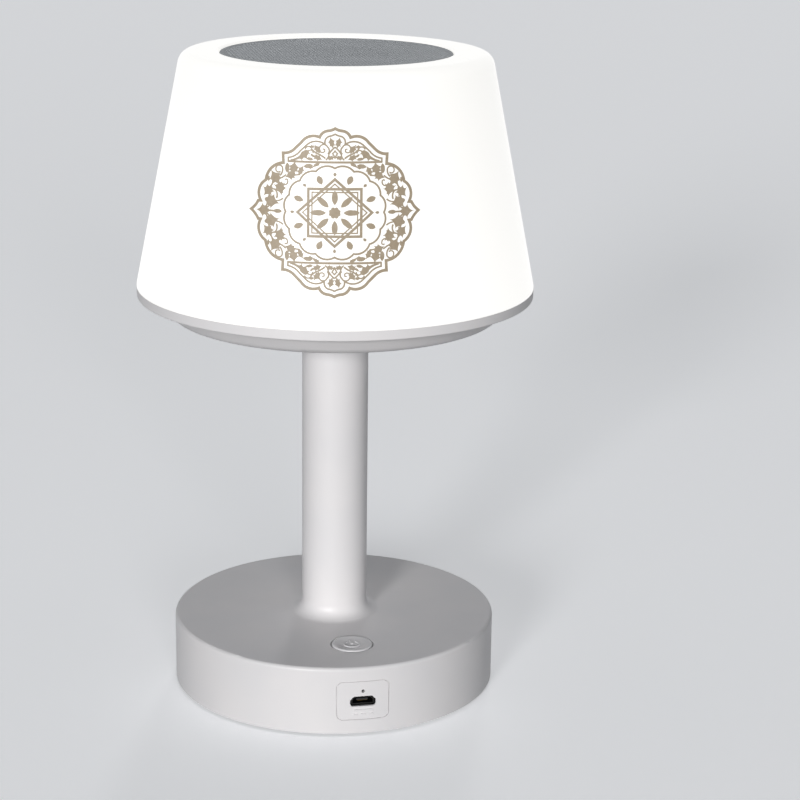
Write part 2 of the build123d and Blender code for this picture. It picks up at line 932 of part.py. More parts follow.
led_screw_shape = make_screw(led_screw)
with BuildPart() as led_board_screws:
    place(led_screw_shape, led_stand_places, led_board_high)
led_board_screws.part.label = "led_board_screws"
export_step(led_board_screws.part, "parts/led_board_screws.step")

with BuildPart() as led_plug:
    block(led_plug_reach, 0, led_board_high, led_lead_plug, plug_depth, plug_height)
led_plug.part.label = "led_plug"
export_step(led_plug.part, "parts/led_plug.step")

# ---------------------------------------------------------------- shade
baffle_screw_places = on_circle(baffle_screw_reach, 4, 0)
with BuildPart() as shade:
    turned(
        (shade_radius, seat),
        (shade_radius, seat + shade_foot),
        (shade_top_radius, shade_high),
        (shade_mouth, shade_high),
        (shade_mouth, shade_under),
        (shade_outside(shade_under) - shade_wall, shade_under),
        (shade_radius - shade_wall, seat + shade_foot),
        (shade_radius - shade_wall, seat),
    )
    fillet(circle_edges(shade, shade_top_radius, shade_high), shade_shoulder)
    inside_corner = shade_outside(shade_under) - shade_wall
    fillet(circle_edges(shade, inside_corner, shade_under), shade_shoulder - shade_wall)
    fillet(circle_edges(shade, shade_mouth, shade_high), shade_mouth_edge)
    # Bosses for the baffle's screws hang from the shade's top.
    circles_at(baffle_screw[0] + boss_wall, baffle_screw_places, flange_high, shade_under)
    circles_at(
        baffle_screw[0] + screw_gap,
        baffle_screw_places,
        flange_high,
        flange_high - flange_thickness + baffle_screw[1] + screw_room,
        mode=Mode.SUBTRACT,
    )
shade.part.label = "shade"
export_step(shade.part, "parts/shade.step")

# ---------------------------------------------------------------- baffle and cup
cup_bore = cup_radius - cup_wall
spigot_outside = cup_bore - spigot_gap
spigot_inside = spigot_outside - spigot_wall
speaker_screw_places = on_circle(speaker_screw_reach, 4, 45)
with BuildPart() as speaker_baffle:
    turned(
        (ledge_bore, ledge_low),
        (spigot_inside, ledge_low),
        (spigot_inside, ledge_low - spigot_height),
        (spigot_outside, ledge_low - spigot_height),
        (spigot_outside, ledge_low),
        (baffle_radius, ledge_low),
        (baffle_radius, flange_high - flange_thickness),
        (flange_radius, flange_high - flange_thickness),
        (flange_radius, flange_high),
        (baffle_radius, flange_high),
        (baffle_radius, shade_under),
        (baffle_bore, shade_under),
        (baffle_bore, ledge_high),
        (ledge_bore, ledge_high),
    )
    screw_end = speaker_high - speaker_screw[1]
    circles_at(speaker_screw[0] + boss_wall, speaker_screw_places, screw_end - boss_wall, ledge_low)
    circles_at(
        speaker_screw[0] + screw_gap,
        speaker_screw_places,
        screw_end - screw_room,
        ledge_high,
        mode=Mode.SUBTRACT,
    )
    circles_at(
        baffle_screw[0] + through_gap,
        baffle_screw_places,
        flange_high - flange_thickness,
        flange_high,
        mode=Mode.SUBTRACT,
    )
speaker_baffle.part.label = "speaker_baffle"
export_step(speaker_baffle.part, "parts/speaker_baffle.step")

baffle_screw_shape = make_screw(baffle_screw)
with BuildPart() as baffle_screws:
    place(baffle_screw_shape, baffle_screw_places, flange_high - flange_thickness, upside_down=True)
baffle_screws.part.label = "baffle_screws"
export_step(baffle_screws.part, "parts/baffle_screws.step")

basket_slope = (basket_mouth - basket_neck) / (basket_depth - speaker_plate)
terminal_low = basket_low + 1
terminal_high = terminal_low + terminal_height
terminal_inside = basket_neck + basket_slope * (terminal_high - basket_low) + spigot_gap
harness_rise = terminal_inside + terminal_thickness + spigot_gap + harness_radius
grommet_place = (harness_offset, harness_rise)
with BuildPart() as speaker_cup:
    disc(cup_radius, cup_low, ledge_low)
    fillet(circle_edges(speaker_cup, cup_radius, cup_low), cup_corner)
    disc(cup_bore, cup_low + cup_wall, ledge_low, mode=Mode.SUBTRACT)
    grommet_neck = grommet_radius - grommet_groove
    circles_at(grommet_neck, [grommet_place], cup_low, cup_low + cup_wall, mode=Mode.SUBTRACT)
speaker_cup.part.label = "speaker_cup"
export_step(speaker_cup.part, "parts/speaker_cup.step")

with BuildPart() as cup_grommet:
    neck = grommet_neck - screw_gap
    bore = harness_radius + screw_gap
    low, high = cup_low, cup_low + cup_wall
    turned(
        (bore, low - grommet_lip),
        (grommet_radius, low - grommet_lip),
        (grommet_radius, low),
        (neck, low),
        (neck, high),
        (grommet_radius, high),
        (grommet_radius, high + grommet_lip),
        (bore, high + grommet_lip),
        centre=grommet_place,
    )
cup_grommet.part.label = "cup_grommet"
export_step(cup_grommet.part, "parts/cup_grommet.step")

# ---------------------------------------------------------------- speaker
speaker_hole = speaker_screw[0] + through_gap
with BuildPart() as speaker_gasket:
    ring(speaker_radius, ledge_bore, ledge_high, speaker_low)
    circles_at(speaker_hole, speaker_screw_places, ledge_high, speaker_low, mode=Mode.SUBTRACT)
speaker_gasket.part.label = "speaker_gasket"
export_step(speaker_gasket.part, "parts/speaker_gasket.step")

spider_low = basket_low + spider_height
inner_floor = basket_low + speaker_plate
with BuildPart() as speaker_basket:
    turned(
        (basket_bore, basket_low),
        (basket_neck, basket_low),
        (basket_mouth, speaker_low),
        (speaker_radius, speaker_low),
        (speaker_radius, speaker_high),
        (basket_mouth - speaker_plate, speaker_high),
        (basket_neck - speaker_plate + basket_slope * spider_height, spider_low),
        (spider_radius - spider_land, spider_low),
        (spider_radius - spider_land, inner_floor),
        (basket_bore, inner_floor),
    )
    # Four windows leave four spokes.
    with BuildSketch(Plane.XY.offset(spider_low + speaker_plate)):
        with PolarLocations(basket_mouth, 4, start_angle=45):
            Rectangle(basket_window_depth, basket_window)
    extrude(amount=speaker_low - spider_low - 2 * speaker_plate, mode=Mode.SUBTRACT)
    circles_at(speaker_hole, speaker_screw_places, speaker_low, speaker_high, mode=Mode.SUBTRACT)
speaker_basket.part.label = "speaker_basket"
export_step(speaker_basket.part, "parts/speaker_basket.step")

with BuildPart() as speaker_terminal:
    block(
        0,
        terminal_inside + terminal_thickness / 2,
        terminal_low,
        terminal_width,
        terminal_thickness,
        terminal_height,
    )
speaker_terminal.part.label = "speaker_terminal"
export_step(speaker_terminal.part, "parts/speaker_terminal.step")

speaker_screw_shape = make_screw(speaker_screw)
with BuildPart() as speaker_screws:
    place(speaker_screw_shape, speaker_screw_places, speaker_high)
speaker_screws.part.label = "speaker_screws"
export_step(speaker_screws.part, "parts/speaker_screws.step")

with BuildPart() as top_plate:
    ring(top_plate_radius, gap_radius, magnet_high, basket_low)
top_plate.part.label = "top_plate"
export_step(top_plate.part, "parts/top_plate.step")

with BuildPart() as magnet:
    ring(magnet_radius, magnet_bore, yoke_high, magnet_high)
magnet.part.label = "magnet"
export_step(magnet.part, "parts/magnet.step")

with BuildPart() as yoke:
    turned(
        (pole_vent, yoke_high - yoke_plate),
        (top_plate_radius, yoke_high - yoke_plate),
        (top_plate_radius, yoke_high),
        (pole_radius, yoke_high),
        (pole_radius, basket_low),
        (pole_vent, basket_low),
    )
yoke.part.label = "yoke"
export_step(yoke.part, "parts/yoke.step")

# The coil, the cone and the dust cap move together.
coil_middle = (magnet_high + basket_low) / 2
coil_low = coil_middle - winding_height / 2
former_outside = coil_radius + former_wall
former_high = basket_low + former_top
with BuildPart() as voice_coil:
    turned(
        (coil_radius, coil_low),
        (former_outside + winding_wall, coil_low),
        (former_outside + winding_wall, coil_low + winding_height),
        (former_outside, coil_low + winding_height),
        (former_outside, former_high),
        (coil_radius, former_high),
    )
voice_coil.part.label = "voice_coil"
export_step(voice_coil.part, "parts/voice_coil.step")

neck_radius = former_outside + screw_gap
neck_low = former_high - cone_neck
cone_low = neck_low + 2 * cone_thickness
cone_end = cone_radius - cone_rim - cone_thickness
with BuildPart() as cone:
    turned(
        (neck_radius, neck_low),
        (neck_radius + cone_thickness, neck_low),
        (neck_radius + cone_thickness, neck_low + cone_thickness),
        (cone_radius - cone_rim, speaker_high - cone_thickness),
        (cone_radius, speaker_high - cone_thickness),
        (cone_radius, speaker_high),
        (cone_end, speaker_high),
        (neck_radius, cone_low),
    )
cone.part.label = "cone"
export_step(cone.part, "parts/cone.step")

cone_rise = (speaker_high - cone_low) / (cone_end - neck_radius)
dust_cap_low = cone_low + cone_rise * (dust_cap_radius - neck_radius) + screw_gap
dust_cap_high = dust_cap_low + dust_cap_rise
with BuildPart() as dust_cap:
    with BuildSketch(upright()):
        with BuildLine():
            TangentArc((0, dust_cap_high), (dust_cap_radius, dust_cap_low), tangent=(1, 0))
            Line((dust_cap_radius, dust_cap_low), (dust_cap_radius - cone_thickness, dust_cap_low))
            TangentArc(
                (0, dust_cap_high - cone_thickness),
                (dust_cap_radius - cone_thickness, dust_cap_low),
                tangent=(1, 0),
            )
            Line((0, dust_cap_high - cone_thickness), (0, dust_cap_high))
        make_face()
    revolve(axis=Axis.Z)
dust_cap.part.label = "dust_cap"
export_step(dust_cap.part, "parts/dust_cap.step")

# The spider's pleats rise and fall between the former and the basket's ledge.
pleat_start = neck_radius + spider_thickness
pleat_end = spider_radius - spider_land
pleat_step = (pleat_end - pleat_start) / (2 * spider_pleats)
pleats = [
    (pleat_start + index * pleat_step, spider_low + (spider_wave if index % 2 else 0))
    for index in range(2 * spider_pleats + 1)
]
with BuildPart() as spider:
    lower = [(neck_radius, spider_low), *pleats, (spider_radius, spider_low)]
    upper = [(radius, height + spider_thickness) for radius, height in reversed(lower)]
    turned(*lower, *upper)
spider.part.label = "spider"
export_step(spider.part, "parts/spider.step")

# The surround is a half roll between the cone's rim and the basket's flange.
roll_outside = basket_mouth + surround_thickness
roll_middle = (cone_radius + roll_outside) / 2
roll_radius = (roll_outside - cone_radius) / 2
lip_top = speaker_high + surround_thickness
with BuildPart() as surround:
    with BuildSketch(upright()):
        with BuildLine():
            Line((cone_radius - surround_lip, speaker_high), (cone_radius, speaker_high))
            ThreePointArc(
                (cone_radius, speaker_high),
                (roll_middle, speaker_high + roll_radius),
                (roll_outside, speaker_high),
            )
            Line((roll_outside, speaker_high), (roll_outside + surround_lip, speaker_high))
            Line((roll_outside + surround_lip, speaker_high), (roll_outside + surround_lip, lip_top))
            Line((roll_outside + surround_lip, lip_top), (roll_outside, lip_top))
            ThreePointArc(
                (roll_outside, lip_top),
                (roll_middle, lip_top + roll_radius),
                (cone_radius, lip_top),
            )
            Line((cone_radius, lip_top), (cone_radius - surround_lip, lip_top))
            Line((cone_radius - surround_lip, lip_top), (cone_radius - surround_lip, speaker_high))
        make_face()
    revolve(axis=Axis.Z)
surround.part.label = "surround"
export_step(surround.part, "parts/surround.step")

# ---------------------------------------------------------------- grille
hole_reach = grille_radius - grille_skirt - grille_margin - grille_hole / 2
hole_steps = int(grille_radius / grille_pitch) + 1
hole_places = [
    (column * grille_pitch, row * grille_pitch)
    for column in range(-hole_steps, hole_steps + 1)
    for row in range(-hole_steps, hole_steps + 1)
    if Vector(column, row).length * grille_pitch < hole_reach
]
with BuildPart() as grille:
    disc(grille_radius, grille_low, grille_high)
    fillet(circle_edges(grille, grille_radius, grille_high), grille_thickness / 2)
    ring(grille_radius, grille_radius - grille_skirt, shade_under, grille_low)
    # Square holes in rows that run diagonally.
    with BuildSketch(Plane.XY.offset(grille_low).rotated((0, 0, 45))):
        with Locations(*hole_places):
            Rectangle(grille_hole, grille_hole)
    extrude(amount=grille_thickness, mode=Mode.SUBTRACT)
grille.part.label = "grille"
export_step(grille.part, "parts/grille.step")

with BuildPart() as grille_cloth:
    disc(grille_radius - grille_skirt - spigot_gap, grille_low - cloth_thickness, grille_low)
grille_cloth.part.label = "grille_cloth"
export_step(grille_cloth.part, "parts/grille_cloth.step")

# ---------------------------------------------------------------- leads through the post
# The harness runs from the board, up the tube and through the cup's grommet to the speaker.
with BuildPart() as harness:
    lead(
        [
            (harness_offset, board_back, lead_axis),
            (harness_offset, 0, lead_axis),
            (harness_offset, 0, head_nut_low + harness_leave),
            (harness_offset, harness_rise, cup_low - harness_enter),
            (harness_offset, harness_rise, terminal_low + terminal_height / 2),
        ],
        harness_radius,
    )
harness.part.label = "harness"
export_step(harness.part, "parts/harness.step")

# The light board's lead arches over the nut and drops into its plug.
plug_top = led_board_high + plug_height
with BuildPart() as led_lead:
    lead(
        [
            (led_lead_plug_x, board_back, lead_axis),
            (led_lead_plug_x, board_back + led_lead_straight, lead_axis),
            (led_lead_offset, 0, lead_axis),
            (led_lead_offset, 0, plug_top + led_lead_arch),
            (led_plug_reach, 0, plug_top + led_lead_arch),
            (led_plug_reach, 0, plug_top),
        ],
        led_lead_radius,
    )
led_lead.part.label = "led_lead"
export_step(led_lead.part, "parts/led_lead.step")
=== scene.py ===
# %% [markdown]
# # A bedside lamp with a speaker in its head
# The lamp is a round weighted base, a straight post and a tapered opal shade that glows. A fine
# grey grille closes the shade's top, and the speaker plays through it. Every rigid part comes
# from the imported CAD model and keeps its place. This lesson gives each part its finish, and
# models what the CAD model leaves plain: the printed medallion, the fine grille, the raised
# marks, and the two soft rings that let the speaker's cone move.

from math import atan2, cos, hypot, pi, radians, sin, sqrt

import bmesh
import bpy
from mathutils import Matrix, Vector
from mathutils.geometry import tessellate_polygon


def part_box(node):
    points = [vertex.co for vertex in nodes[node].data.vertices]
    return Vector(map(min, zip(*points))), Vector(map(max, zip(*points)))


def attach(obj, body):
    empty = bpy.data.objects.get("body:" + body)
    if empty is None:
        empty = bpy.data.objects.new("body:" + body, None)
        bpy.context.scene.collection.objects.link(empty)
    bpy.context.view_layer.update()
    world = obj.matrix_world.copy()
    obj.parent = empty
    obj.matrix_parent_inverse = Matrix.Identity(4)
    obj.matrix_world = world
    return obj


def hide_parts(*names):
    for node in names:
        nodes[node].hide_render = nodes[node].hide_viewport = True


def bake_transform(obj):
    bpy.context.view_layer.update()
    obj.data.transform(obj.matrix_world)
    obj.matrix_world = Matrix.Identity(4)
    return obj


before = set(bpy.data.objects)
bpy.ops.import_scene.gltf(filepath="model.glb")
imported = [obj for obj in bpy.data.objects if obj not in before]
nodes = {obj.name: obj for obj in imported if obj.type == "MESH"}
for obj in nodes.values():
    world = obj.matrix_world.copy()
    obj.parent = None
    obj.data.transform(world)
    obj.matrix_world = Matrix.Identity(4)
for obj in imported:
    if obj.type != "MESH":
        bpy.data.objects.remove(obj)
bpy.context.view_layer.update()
MM = 0.001

# %% [markdown]
# ## The camera
# The camera stands in front of the charging socket and a little to its left, above the shade's
# middle, and looks down on the lamp. A long lens keeps the base and the shade in proportion.
# Turning it in three plain steps (heading, pitch, roll) is easier to read than one matrix.

# %% Camera
camera_place = Vector((-0.1264, -0.7133, 0.3072))
camera_heading, camera_pitch, camera_roll = 11.79, 16.04, 0.74

camera_data = bpy.data.cameras.new("camera")
camera_data.lens = 99.98
camera_data.sensor_width = 36
camera = bpy.data.objects.new("camera", camera_data)
camera.matrix_world = (
    Matrix.Translation(camera_place)
    @ Matrix.Rotation(radians(-camera_heading), 4, "Z")
    @ Matrix.Rotation(radians(90 - camera_pitch), 4, "X")
    @ Matrix.Rotation(radians(camera_roll), 4, "Z")
)
bpy.context.scene.collection.objects.link(camera)
bpy.context.scene.camera = camera
bpy.context.scene.view_settings.view_transform = "Standard"
print("camera", [round(v, 3) for v in camera_place])

# %% [markdown]
# ## Colours and nodes
# Colours are written as the hex values that a paint program shows. The shaders count light, so
# one function turns each hex value to linear. A second small function adds a shader node with
# its settings and its links, and every material below is built from it.


# %% Colour and node helpers
def linear(hex_colour):
    """An sRGB hex colour as linear red, green, blue and alpha."""
    channels = [int(hex_colour[start:start + 2], 16) / 255 for start in (1, 3, 5)]
    return (*[c / 12.92 if c <= 0.04045 else ((c + 0.055) / 1.055) ** 2.4 for c in channels], 1.0)


def add_node(tree, kind, settings=None, inputs=None):
    """Adds a node. Settings are its properties; inputs are values, or the outputs linked to them."""
    node = tree.nodes.new(kind)
    for name, value in (settings or {}).items():
        setattr(node, name, value)
    for name, value in (inputs or {}).items():
        if isinstance(value, bpy.types.NodeSocket):
            tree.links.new(value, node.inputs[name])
        else:
            node.inputs[name].default_value = value
    return node


def start_material(name, **even):
    """A material with one Principled shader. Even values are set on the shader's own sockets."""
    material = bpy.data.materials.new(name)
    material.use_nodes = True
    tree = material.node_tree
    tree.nodes.clear()
    values = {key.replace("_", " "): value for key, value in even.items()}
    shader = add_node(tree, "ShaderNodeBsdfPrincipled", inputs=values)
    add_node(tree, "ShaderNodeOutputMaterial", inputs={"Surface": shader.outputs[0]})
    return material, tree, shader


print("white is", linear("#FFFFFF"))

# %% [markdown]
# ## Patterns with a real size
# A pattern looks right only at its real size. The frame is in metres and every piece's own
# coordinates are the frame's, so a noise whose grains are 0.8 mm across has a scale of
# 1 / 0.0008. Grain that is finer than a pixel would vanish, so it is drawn at 0.6 to 1 mm here,
# although the texture on such a moulding is nearer to 0.1 mm.


# %% Pattern helpers
def grain(tree, size, stretch=(1, 1, 1), detail=2.0):
    """Noise with grains of a size in millimetres, fixed to the piece."""
    place = add_node(tree, "ShaderNodeTexCoord")
    mapping = add_node(
        tree, "ShaderNodeMapping", inputs={"Vector": place.outputs["Object"], "Scale": stretch}
    )
    noise = add_node(
        tree,
        "ShaderNodeTexNoise",
        inputs={"Vector": mapping.outputs[0], "Scale": 1 / (size * MM), "Detail": detail},
    )
    return noise.outputs["Fac"]


def between(tree, factor, low, high):
    """Spreads a noise, which stays near 0.5, over the range from low to high."""
    spread = {"Value": factor, "From Min": 0.3, "From Max": 0.7, "To Min": low, "To Max": high}
    return add_node(tree, "ShaderNodeMapRange", inputs=spread).outputs[0]


def two_tone(tree, factor, first, second):
    """Two hex colours mixed by a factor from 0 to 1."""
    mixed = {0: factor, 6: linear(first), 7: linear(second)}
    return add_node(tree, "ShaderNodeMix", {"data_type": "RGBA"}, mixed).outputs[2]


def press(tree, shader, height, depth):
    """Raises the surface by a pattern, with a depth in millimetres."""
    relief = {"Height": height, "Distance": depth * MM, "Strength": 1.0}
    tree.links.new(add_node(tree, "ShaderNodeBump", inputs=relief).outputs[0], shader.inputs["Normal"])


# %% [markdown]
# ## Moulded plastics
# Most of the lamp is ABS, moulded in white and left with the satin face of the mould: a soft
# highlight with no sharp reflection. The mould's fine spark texture breaks that highlight up, and
# the colour drifts by a hair over a few centimetres. One recipe serves every moulded plastic,
# and the numbers say which plastic it is.


# %% A recipe for moulded plastic
def moulded(name, colour, drifted, roughness, ior, texture=0.8, depth=0.012, **even):
    """Moulded plastic: two close colours, a broken satin highlight and the mould's fine texture."""
    material, tree, shader = start_material(name, IOR=ior, **even)
    slow = between(tree, grain(tree, 25), 0, 1)
    tree.links.new(two_tone(tree, slow, colour, drifted), shader.inputs["Base Color"])
    fine = grain(tree, texture)
    tree.links.new(between(tree, fine, roughness - 0.04, roughness + 0.04), shader.inputs["Roughness"])
    press(tree, shader, fine, depth)
    return material


def dress(material, *names):
    """Gives CAD parts a finish; their shape stays as it is."""
    for name in names:
        for place in nodes[name].material_slots:
            place.material = material


# %% Finishes in plastic
satin_abs = moulded("satin_white_abs", "#E9E6E6", "#E4E2E3", 0.42, 1.53)
button_abs = moulded("button_white_abs", "#E5E3E4", "#E1E0E1", 0.36, 1.53, texture=0.6, depth=0.008)
black_nylon = moulded("black_moulded_nylon", "#1B1B1C", "#202021", 0.5, 1.53)
natural_nylon = moulded("natural_nylon", "#E4E1D6", "#DCD8CB", 0.45, 1.53)
black_epoxy = moulded("black_epoxy_resin", "#1D1E20", "#26272A", 0.55, 1.55, texture=0.6)
phosphor_resin = moulded("phosphor_resin", "#F1DE7A", "#EBD56A", 0.3, 1.5)
cell_sleeve = moulded("shrink_sleeve_pvc", "#2C6C9E", "#286391", 0.25, 1.53, depth=0.004)
wire_pvc = moulded("soft_wire_pvc", "#2A2A2B", "#303031", 0.5, 1.53)
clear_acrylic = moulded("clear_acrylic", "#F4F6F7", "#EDF1F3", 0.08, 1.49, Transmission_Weight=0.9)

dress(satin_abs, "base_shell", "base_plate", "post", "head_housing", "speaker_baffle", "speaker_cup")
dress(button_abs, "power_button")
dress(black_nylon, "usb_tongue", "switch_body", "switch_plunger")
dress(natural_nylon, "board_plugs", "led_plug")
dress(black_epoxy, "board_chips")
dress(phosphor_resin, "leds", "charge_led")
dress(cell_sleeve, "battery_cell")
dress(wire_pvc, "battery_wires", "harness", "led_lead")
dress(clear_acrylic, "light_guide")
print("plastics done")

# %% [markdown]
# ## The opal shade
# The shade is polystyrene filled with a white diffuser and lit from inside, so it glows evenly
# and hides the light board. Light that really scattered through its wall would be slow and noisy,
# so the glow is an emission on the shader of the outside. Half the light that falls on opal plastic
# goes through it, so its base colour is a light grey. Both together come to about white, which
# leaves the round form and the fine print readable. The top is far from the light board and gets a
# little less.

# %% Opal polystyrene
shade_low, shade_high = (corner.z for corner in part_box("shade"))
glow_at_foot, glow_at_top = 0.80, 0.74

opal, tree, shader = start_material(
    "opal_diffuser_polystyrene",
    IOR=1.59,
    Roughness=0.38,
    Base_Color=linear("#A09F9D"),
    Emission_Color=linear("#FFFEFB"),
)
place = add_node(tree, "ShaderNodeTexCoord").outputs["Object"]
height = add_node(tree, "ShaderNodeSeparateXYZ", inputs={0: place}).outputs["Z"]
glow_range = {
    "Value": height,
    "From Min": shade_low,
    "From Max": shade_high,
    "To Min": glow_at_foot,
    "To Max": glow_at_top,
}
glow = add_node(tree, "ShaderNodeMapRange", inputs=glow_range).outputs[0]
tree.links.new(glow, shader.inputs["Emission Strength"])
press(tree, shader, grain(tree, 0.9), 0.008)
dress(opal, "shade")
print("shade from", round(shade_low / MM, 1), "to", round(shade_high / MM, 1), "mm")

# %% [markdown]
# ## Rubber, foam, cloth and paper
# The foot pad is matt black rubber: a wide dull highlight and a slightly uneven face. The
# speaker's cone is pressed paper, whose fibres show as a soft mottling. The spider is cotton
# stiffened with resin, and the cloth under the grille is an open black weave; both are woven, so
# two crossed waves at the thread spacing give their relief.


# %% A recipe for matt soft surfaces
def matt(name, colour, drifted, roughness, texture, depth, **even):
    """Rubber, foam or pressed fibre: dull, mottled and slightly rough to the touch."""
    material, tree, shader = start_material(name, Roughness=roughness, **even)
    mottle = grain(tree, texture, detail=5.0)
    tree.links.new(two_tone(tree, between(tree, mottle, 0, 1), colour, drifted), shader.inputs["Base Color"])
    press(tree, shader, mottle, depth)
    return material


def woven(name, warp, weft, thread, depth):
    """Plain weave: two crossed waves, one thread apart, in millimetres."""
    material, tree, shader = start_material(name, Roughness=0.85, Sheen_Weight=0.3)
    place = add_node(tree, "ShaderNodeTexCoord").outputs["Object"]
    waves = []
    for direction in ("X", "Y"):
        # A wave node's bands are 1 / (20 / 2 pi) of a unit apart at a scale of 1.
        settings = {"wave_type": "BANDS", "bands_direction": direction, "wave_profile": "SIN"}
        spacing = {"Vector": place, "Scale": 2 * pi / 20 / (thread * MM)}
        waves.append(add_node(tree, "ShaderNodeTexWave", settings, spacing).outputs["Fac"])
    crossed = add_node(tree, "ShaderNodeMath", {"operation": "MAXIMUM"}, {0: waves[0], 1: waves[1]})
    tree.links.new(two_tone(tree, waves[0], warp, weft), shader.inputs["Base Color"])
    press(tree, shader, crossed.outputs[0], depth)
    return material


# %% Finishes in rubber, cloth and paper
pad_rubber = matt("matt_black_rubber", "#222223", "#2B2B2C", 0.8, 1.2, 0.04, IOR=1.52)
gasket_foam = matt("closed_cell_foam", "#1E1E1F", "#2C2C2D", 0.95, 0.8, 0.1, IOR=1.5)
pressed_paper = matt("pressed_paper_pulp", "#1F1F20", "#2E2D2C", 0.85, 1.0, 0.03, IOR=1.5)
ferrite = matt("sintered_ferrite", "#2B2B2E", "#38383B", 0.7, 0.9, 0.02, IOR=2.2)
grille_cloth = woven("open_acoustic_cloth", "#55585B", "#4A4D50", 0.7, 0.08)
spider_cloth = woven("resin_stiffened_cotton", "#C79D57", "#B98E48", 0.6, 0.05)

dress(pad_rubber, "foot_pad", "cup_grommet", "surround")
dress(gasket_foam, "speaker_gasket")
dress(pressed_paper, "cone", "dust_cap")
dress(ferrite, "magnet")
dress(grille_cloth, "grille_cloth")
dress(spider_cloth, "spider")
print("soft finishes done")

# %% [markdown]
# ## Metals
# The tie tube and its nuts are steel, turned on a lathe and zinc plated: the tool's fine marks
# run round the axis, so the noise is stretched along the surface and squeezed up the axis. Sheet
# metal parts were rolled and stamped, and their faint lines run one way. A metal's colour is its
# reflection, so its roughness carries the finish.


# %% A recipe for metals
def worked_metal(name, colour, drifted, roughness, marks, stretch, depth=0.004):
    """Metal with fine tool marks of a spacing in millimetres, stretched along the work's direction."""
    material, tree, shader = start_material(name, Metallic=1.0)
    lines = grain(tree, marks, stretch=stretch, detail=3.0)
    tree.links.new(two_tone(tree, between(tree, lines, 0, 1), colour, drifted), shader.inputs["Base Color"])
    tree.links.new(between(tree, lines, roughness - 0.06, roughness + 0.06), shader.inputs["Roughness"])
    press(tree, shader, lines, depth)
    return material


# %% Finishes in metal
turned, rolled = (0.15, 0.15, 1), (1, 0.1, 1)
zinc_plate = worked_metal("zinc_plated_steel", "#C9CBD0", "#B9BCC4", 0.34, 0.6, turned)
nickel_plate = worked_metal("nickel_plated_steel", "#C4C2BC", "#B5B2AB", 0.28, 0.5, turned)
socket_steel = worked_metal("black_nickel_plated_sheet", "#4A4947", "#3F3E3D", 0.4, 0.4, rolled)
nickel_strip = worked_metal("rolled_nickel_strip", "#C7C2B8", "#B9B4AA", 0.35, 0.4, rolled)
drawn_aluminium = worked_metal("drawn_aluminium_can", "#D2D3D6", "#C4C6CA", 0.3, 0.5, turned)
# The contacts are drawn darker than gold: painted shade for the inside of the socket.
shaded_gold_contacts = worked_metal("gold_contact_with_painted_shade", "#A98A4C", "#9C7D41", 0.4, 0.3, rolled)
copper_wire = worked_metal("enamelled_copper_wire", "#B5683C", "#A55A30", 0.3, 0.5, (0.1, 0.1, 1))

dress(zinc_plate, "counterweight", "tie_tube", "base_nut", "base_washer", "head_nut", "head_washer")
dress(zinc_plate, "top_plate", "yoke")
dress(nickel_plate, "base_plate_screws", "board_screws", "led_board_screws", "baffle_screws")
dress(nickel_plate, "speaker_screws", "clock_crystal")
dress(socket_steel, "usb_shell")
dress(nickel_strip, "battery_tabs")
dress(drawn_aluminium, "board_capacitors")
dress(shaded_gold_contacts, "usb_contacts")
dress(copper_wire, "voice_coil")
print("metals done")

# %% [markdown]
# ## Painted metal and circuit boards
# The speaker's basket is a steel pressing with black paint, a little orange-peeled. A circuit
# board is glass-fibre laminate under solder resist, glossy and smooth, green on the main board
# and white on the light board, where it throws the light upwards.

# %% Painted and laminated finishes
basket_paint = moulded("black_painted_pressing", "#161617", "#1C1C1D", 0.32, 1.5, texture=1.2, depth=0.02)
green_resist = moulded("green_solder_resist", "#12582F", "#0F4E29", 0.28, 1.5, texture=0.6, depth=0.003)
white_resist = moulded("white_solder_resist", "#F0F0EE", "#E8E8E6", 0.3, 1.5, texture=0.6, depth=0.003)
dress(basket_paint, "speaker_basket")
dress(green_resist, "main_board", "speaker_terminal")
dress(white_resist, "led_board")
print("paint and boards done")

# %% [markdown]
# ## Edges that catch the light
# A mould never leaves a sharp edge. A small bevel on the base rounds the edges of the charging
# panel and of the button's hole, so each draws a fine line of light. It is a modifier, so the
# part's own mesh stays as it came.


# %% Rounded edges
def soften(name, width):
    """Rounds a part's sharp edges by a width in millimetres."""
    bevel = nodes[name].modifiers.new("rounded_edges", "BEVEL")
    bevel.width, bevel.segments = width * MM, 3
    bevel.limit_method, bevel.angle_limit = "ANGLE", radians(40)


soften("base_shell", 0.25)

# %% [markdown]
# ## Wrapping flat artwork onto a round wall
# The print on the shade, the insert round the charging socket and the mark below the socket start
# as flat outlines in millimetres. Each becomes a thin closed slab that follows the wall: its inner
# face sinks just under the surface and its outer face stands proud of it. The wall's radius at two
# heights is read from the CAD part itself with a ray, which makes the slope exact. The button's
# dished cap is read in its middle and near its rim, and curves evenly between the two.


# %% Read a round wall
# Rays start this far from the axis or above the table, clear of the whole lamp.
far_out = 300 * MM


def wall_reach(name, azimuth, height):
    """The distance of a part's outer face from the axis. Azimuth 0 is the -Y side, in degrees."""
    outward = Vector((sin(radians(azimuth)), -cos(radians(azimuth)), 0))
    start = outward * far_out + Vector((0, 0, height))
    found, place, _, _ = nodes[name].ray_cast(start, -outward)
    assert found, (name, azimuth, height)
    return hypot(place.x, place.y)


